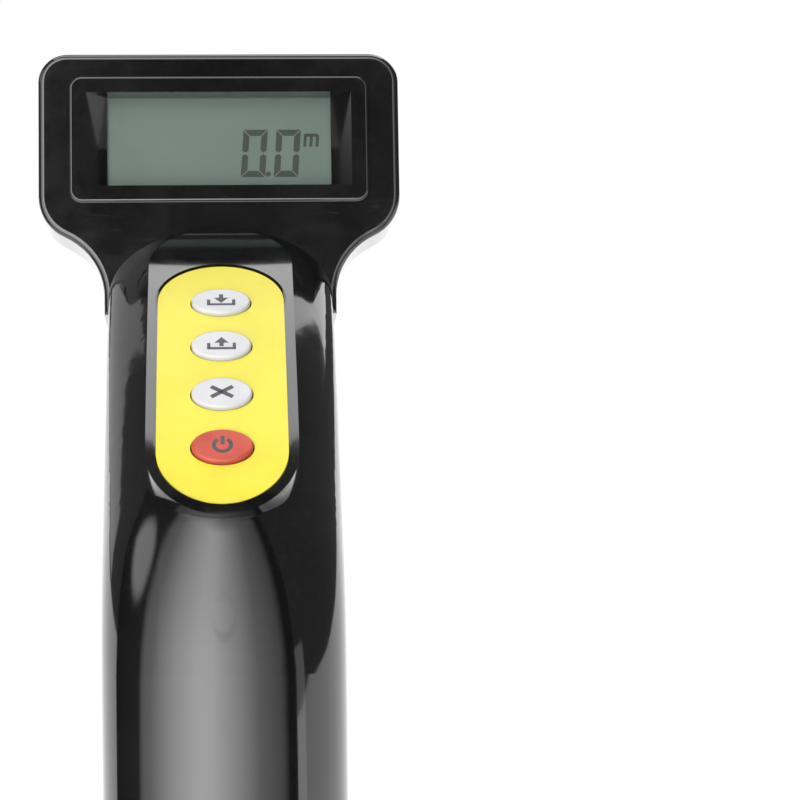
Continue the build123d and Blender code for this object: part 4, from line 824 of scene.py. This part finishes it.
for k, point in enumerate(line):
    heading = (line[min(k + 1, count)] - line[max(k - 1, 0)]).normalized()
    slanting = abs(heading.dot(poleUp)) < springLead["steepest"]
    first = heading.cross(poleUp).normalized() if slanting else sideways
    second = heading.cross(first)
    rings.append([])
    for s in range(springLead["sides"]):
        angle = 2 * pi * s / springLead["sides"]
        outward = first * cos(angle) + second * sin(angle)
        rings[-1].append(springBuild.verts.new(point + outward * springLead["leadRadius"]))
for before, after in zip(rings, rings[1:]):
    for s in range(springLead["sides"]):
        t = (s + 1) % springLead["sides"]
        face = springBuild.faces.new((before[s], before[t], after[t], after[s]))
        face.smooth = True
for cap in (rings[0], rings[-1]):
    springBuild.faces.new(cap)
bmesh.ops.recalc_face_normals(springBuild, faces=springBuild.faces)
springMesh = finishMesh(springBuild, "spring_lead")
springMesh.materials.append(finishes["lead_black"])
spring = hangObject("spring_lead", springMesh)
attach(spring, "frame")
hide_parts("coiled_lead")
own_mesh(spring)

print("floor")
floorBuild = bmesh.new()
ringSizes = [0.4, 1.2, 4.0, 15.0, studio["floorRadius"]]
ringSteps = 64
ringTurns = [2 * pi * k / ringSteps for k in range(ringSteps)]
floorRings = [[floorBuild.verts.new((size * cos(angle), size * sin(angle), 0)) for angle in ringTurns]
              for size in ringSizes]
floorBuild.faces.new(floorRings[0])
for inner, outer in zip(floorRings, floorRings[1:]):
    for k in range(ringSteps):
        following = (k + 1) % ringSteps
        floorBuild.faces.new((inner[k], inner[following], outer[following], outer[k]))
bmesh.ops.recalc_face_normals(floorBuild, faces=floorBuild.faces)
floorMesh = finishMesh(floorBuild, "studio_floor")
floor = hangObject("studio_floor", floorMesh)
# painted light: the floor paper glows by itself as well as being lit
floorFinish = makeFinish("glowing_floor_paper", look((0.80, 0.80, 0.80), (0.78, 0.78, 0.78), (0.70, 0.85),
                                             (900.0, 0.00002), 3.0))
floorShader = floorFinish.node_tree.nodes["Principled BSDF"]
floorTree = floorFinish.node_tree
floorPlace = floorTree.nodes.new("ShaderNodeTexCoord")
fromWheel = floorTree.nodes.new("ShaderNodeVectorMath")
fromWheel.operation = "LENGTH"
floorTree.links.new(floorPlace.outputs["Object"], fromWheel.inputs[0])
glowNear, glowFar = studio["floorGlow"]
glowStart, glowEnd = studio["floorGlowReach"]
# painted light: the floor's own glow, dimmer within half a metre of the wheel and rising to near white three
# metres out
floorGlowLevel = addRange(floorTree, fromWheel.outputs["Value"], glowStart, glowEnd, glowNear, glowFar)
glow = floorTree.nodes.new("ShaderNodeCombineColor")
for channel in ("Red", "Green", "Blue"):
    floorTree.links.new(floorGlowLevel, glow.inputs[channel])
floorTree.links.new(glow.outputs["Color"], floorShader.inputs["Emission Color"])
floorShader.inputs["Emission Strength"].default_value = 1.0
floorMesh.materials.append(floorFinish)

print("finished")
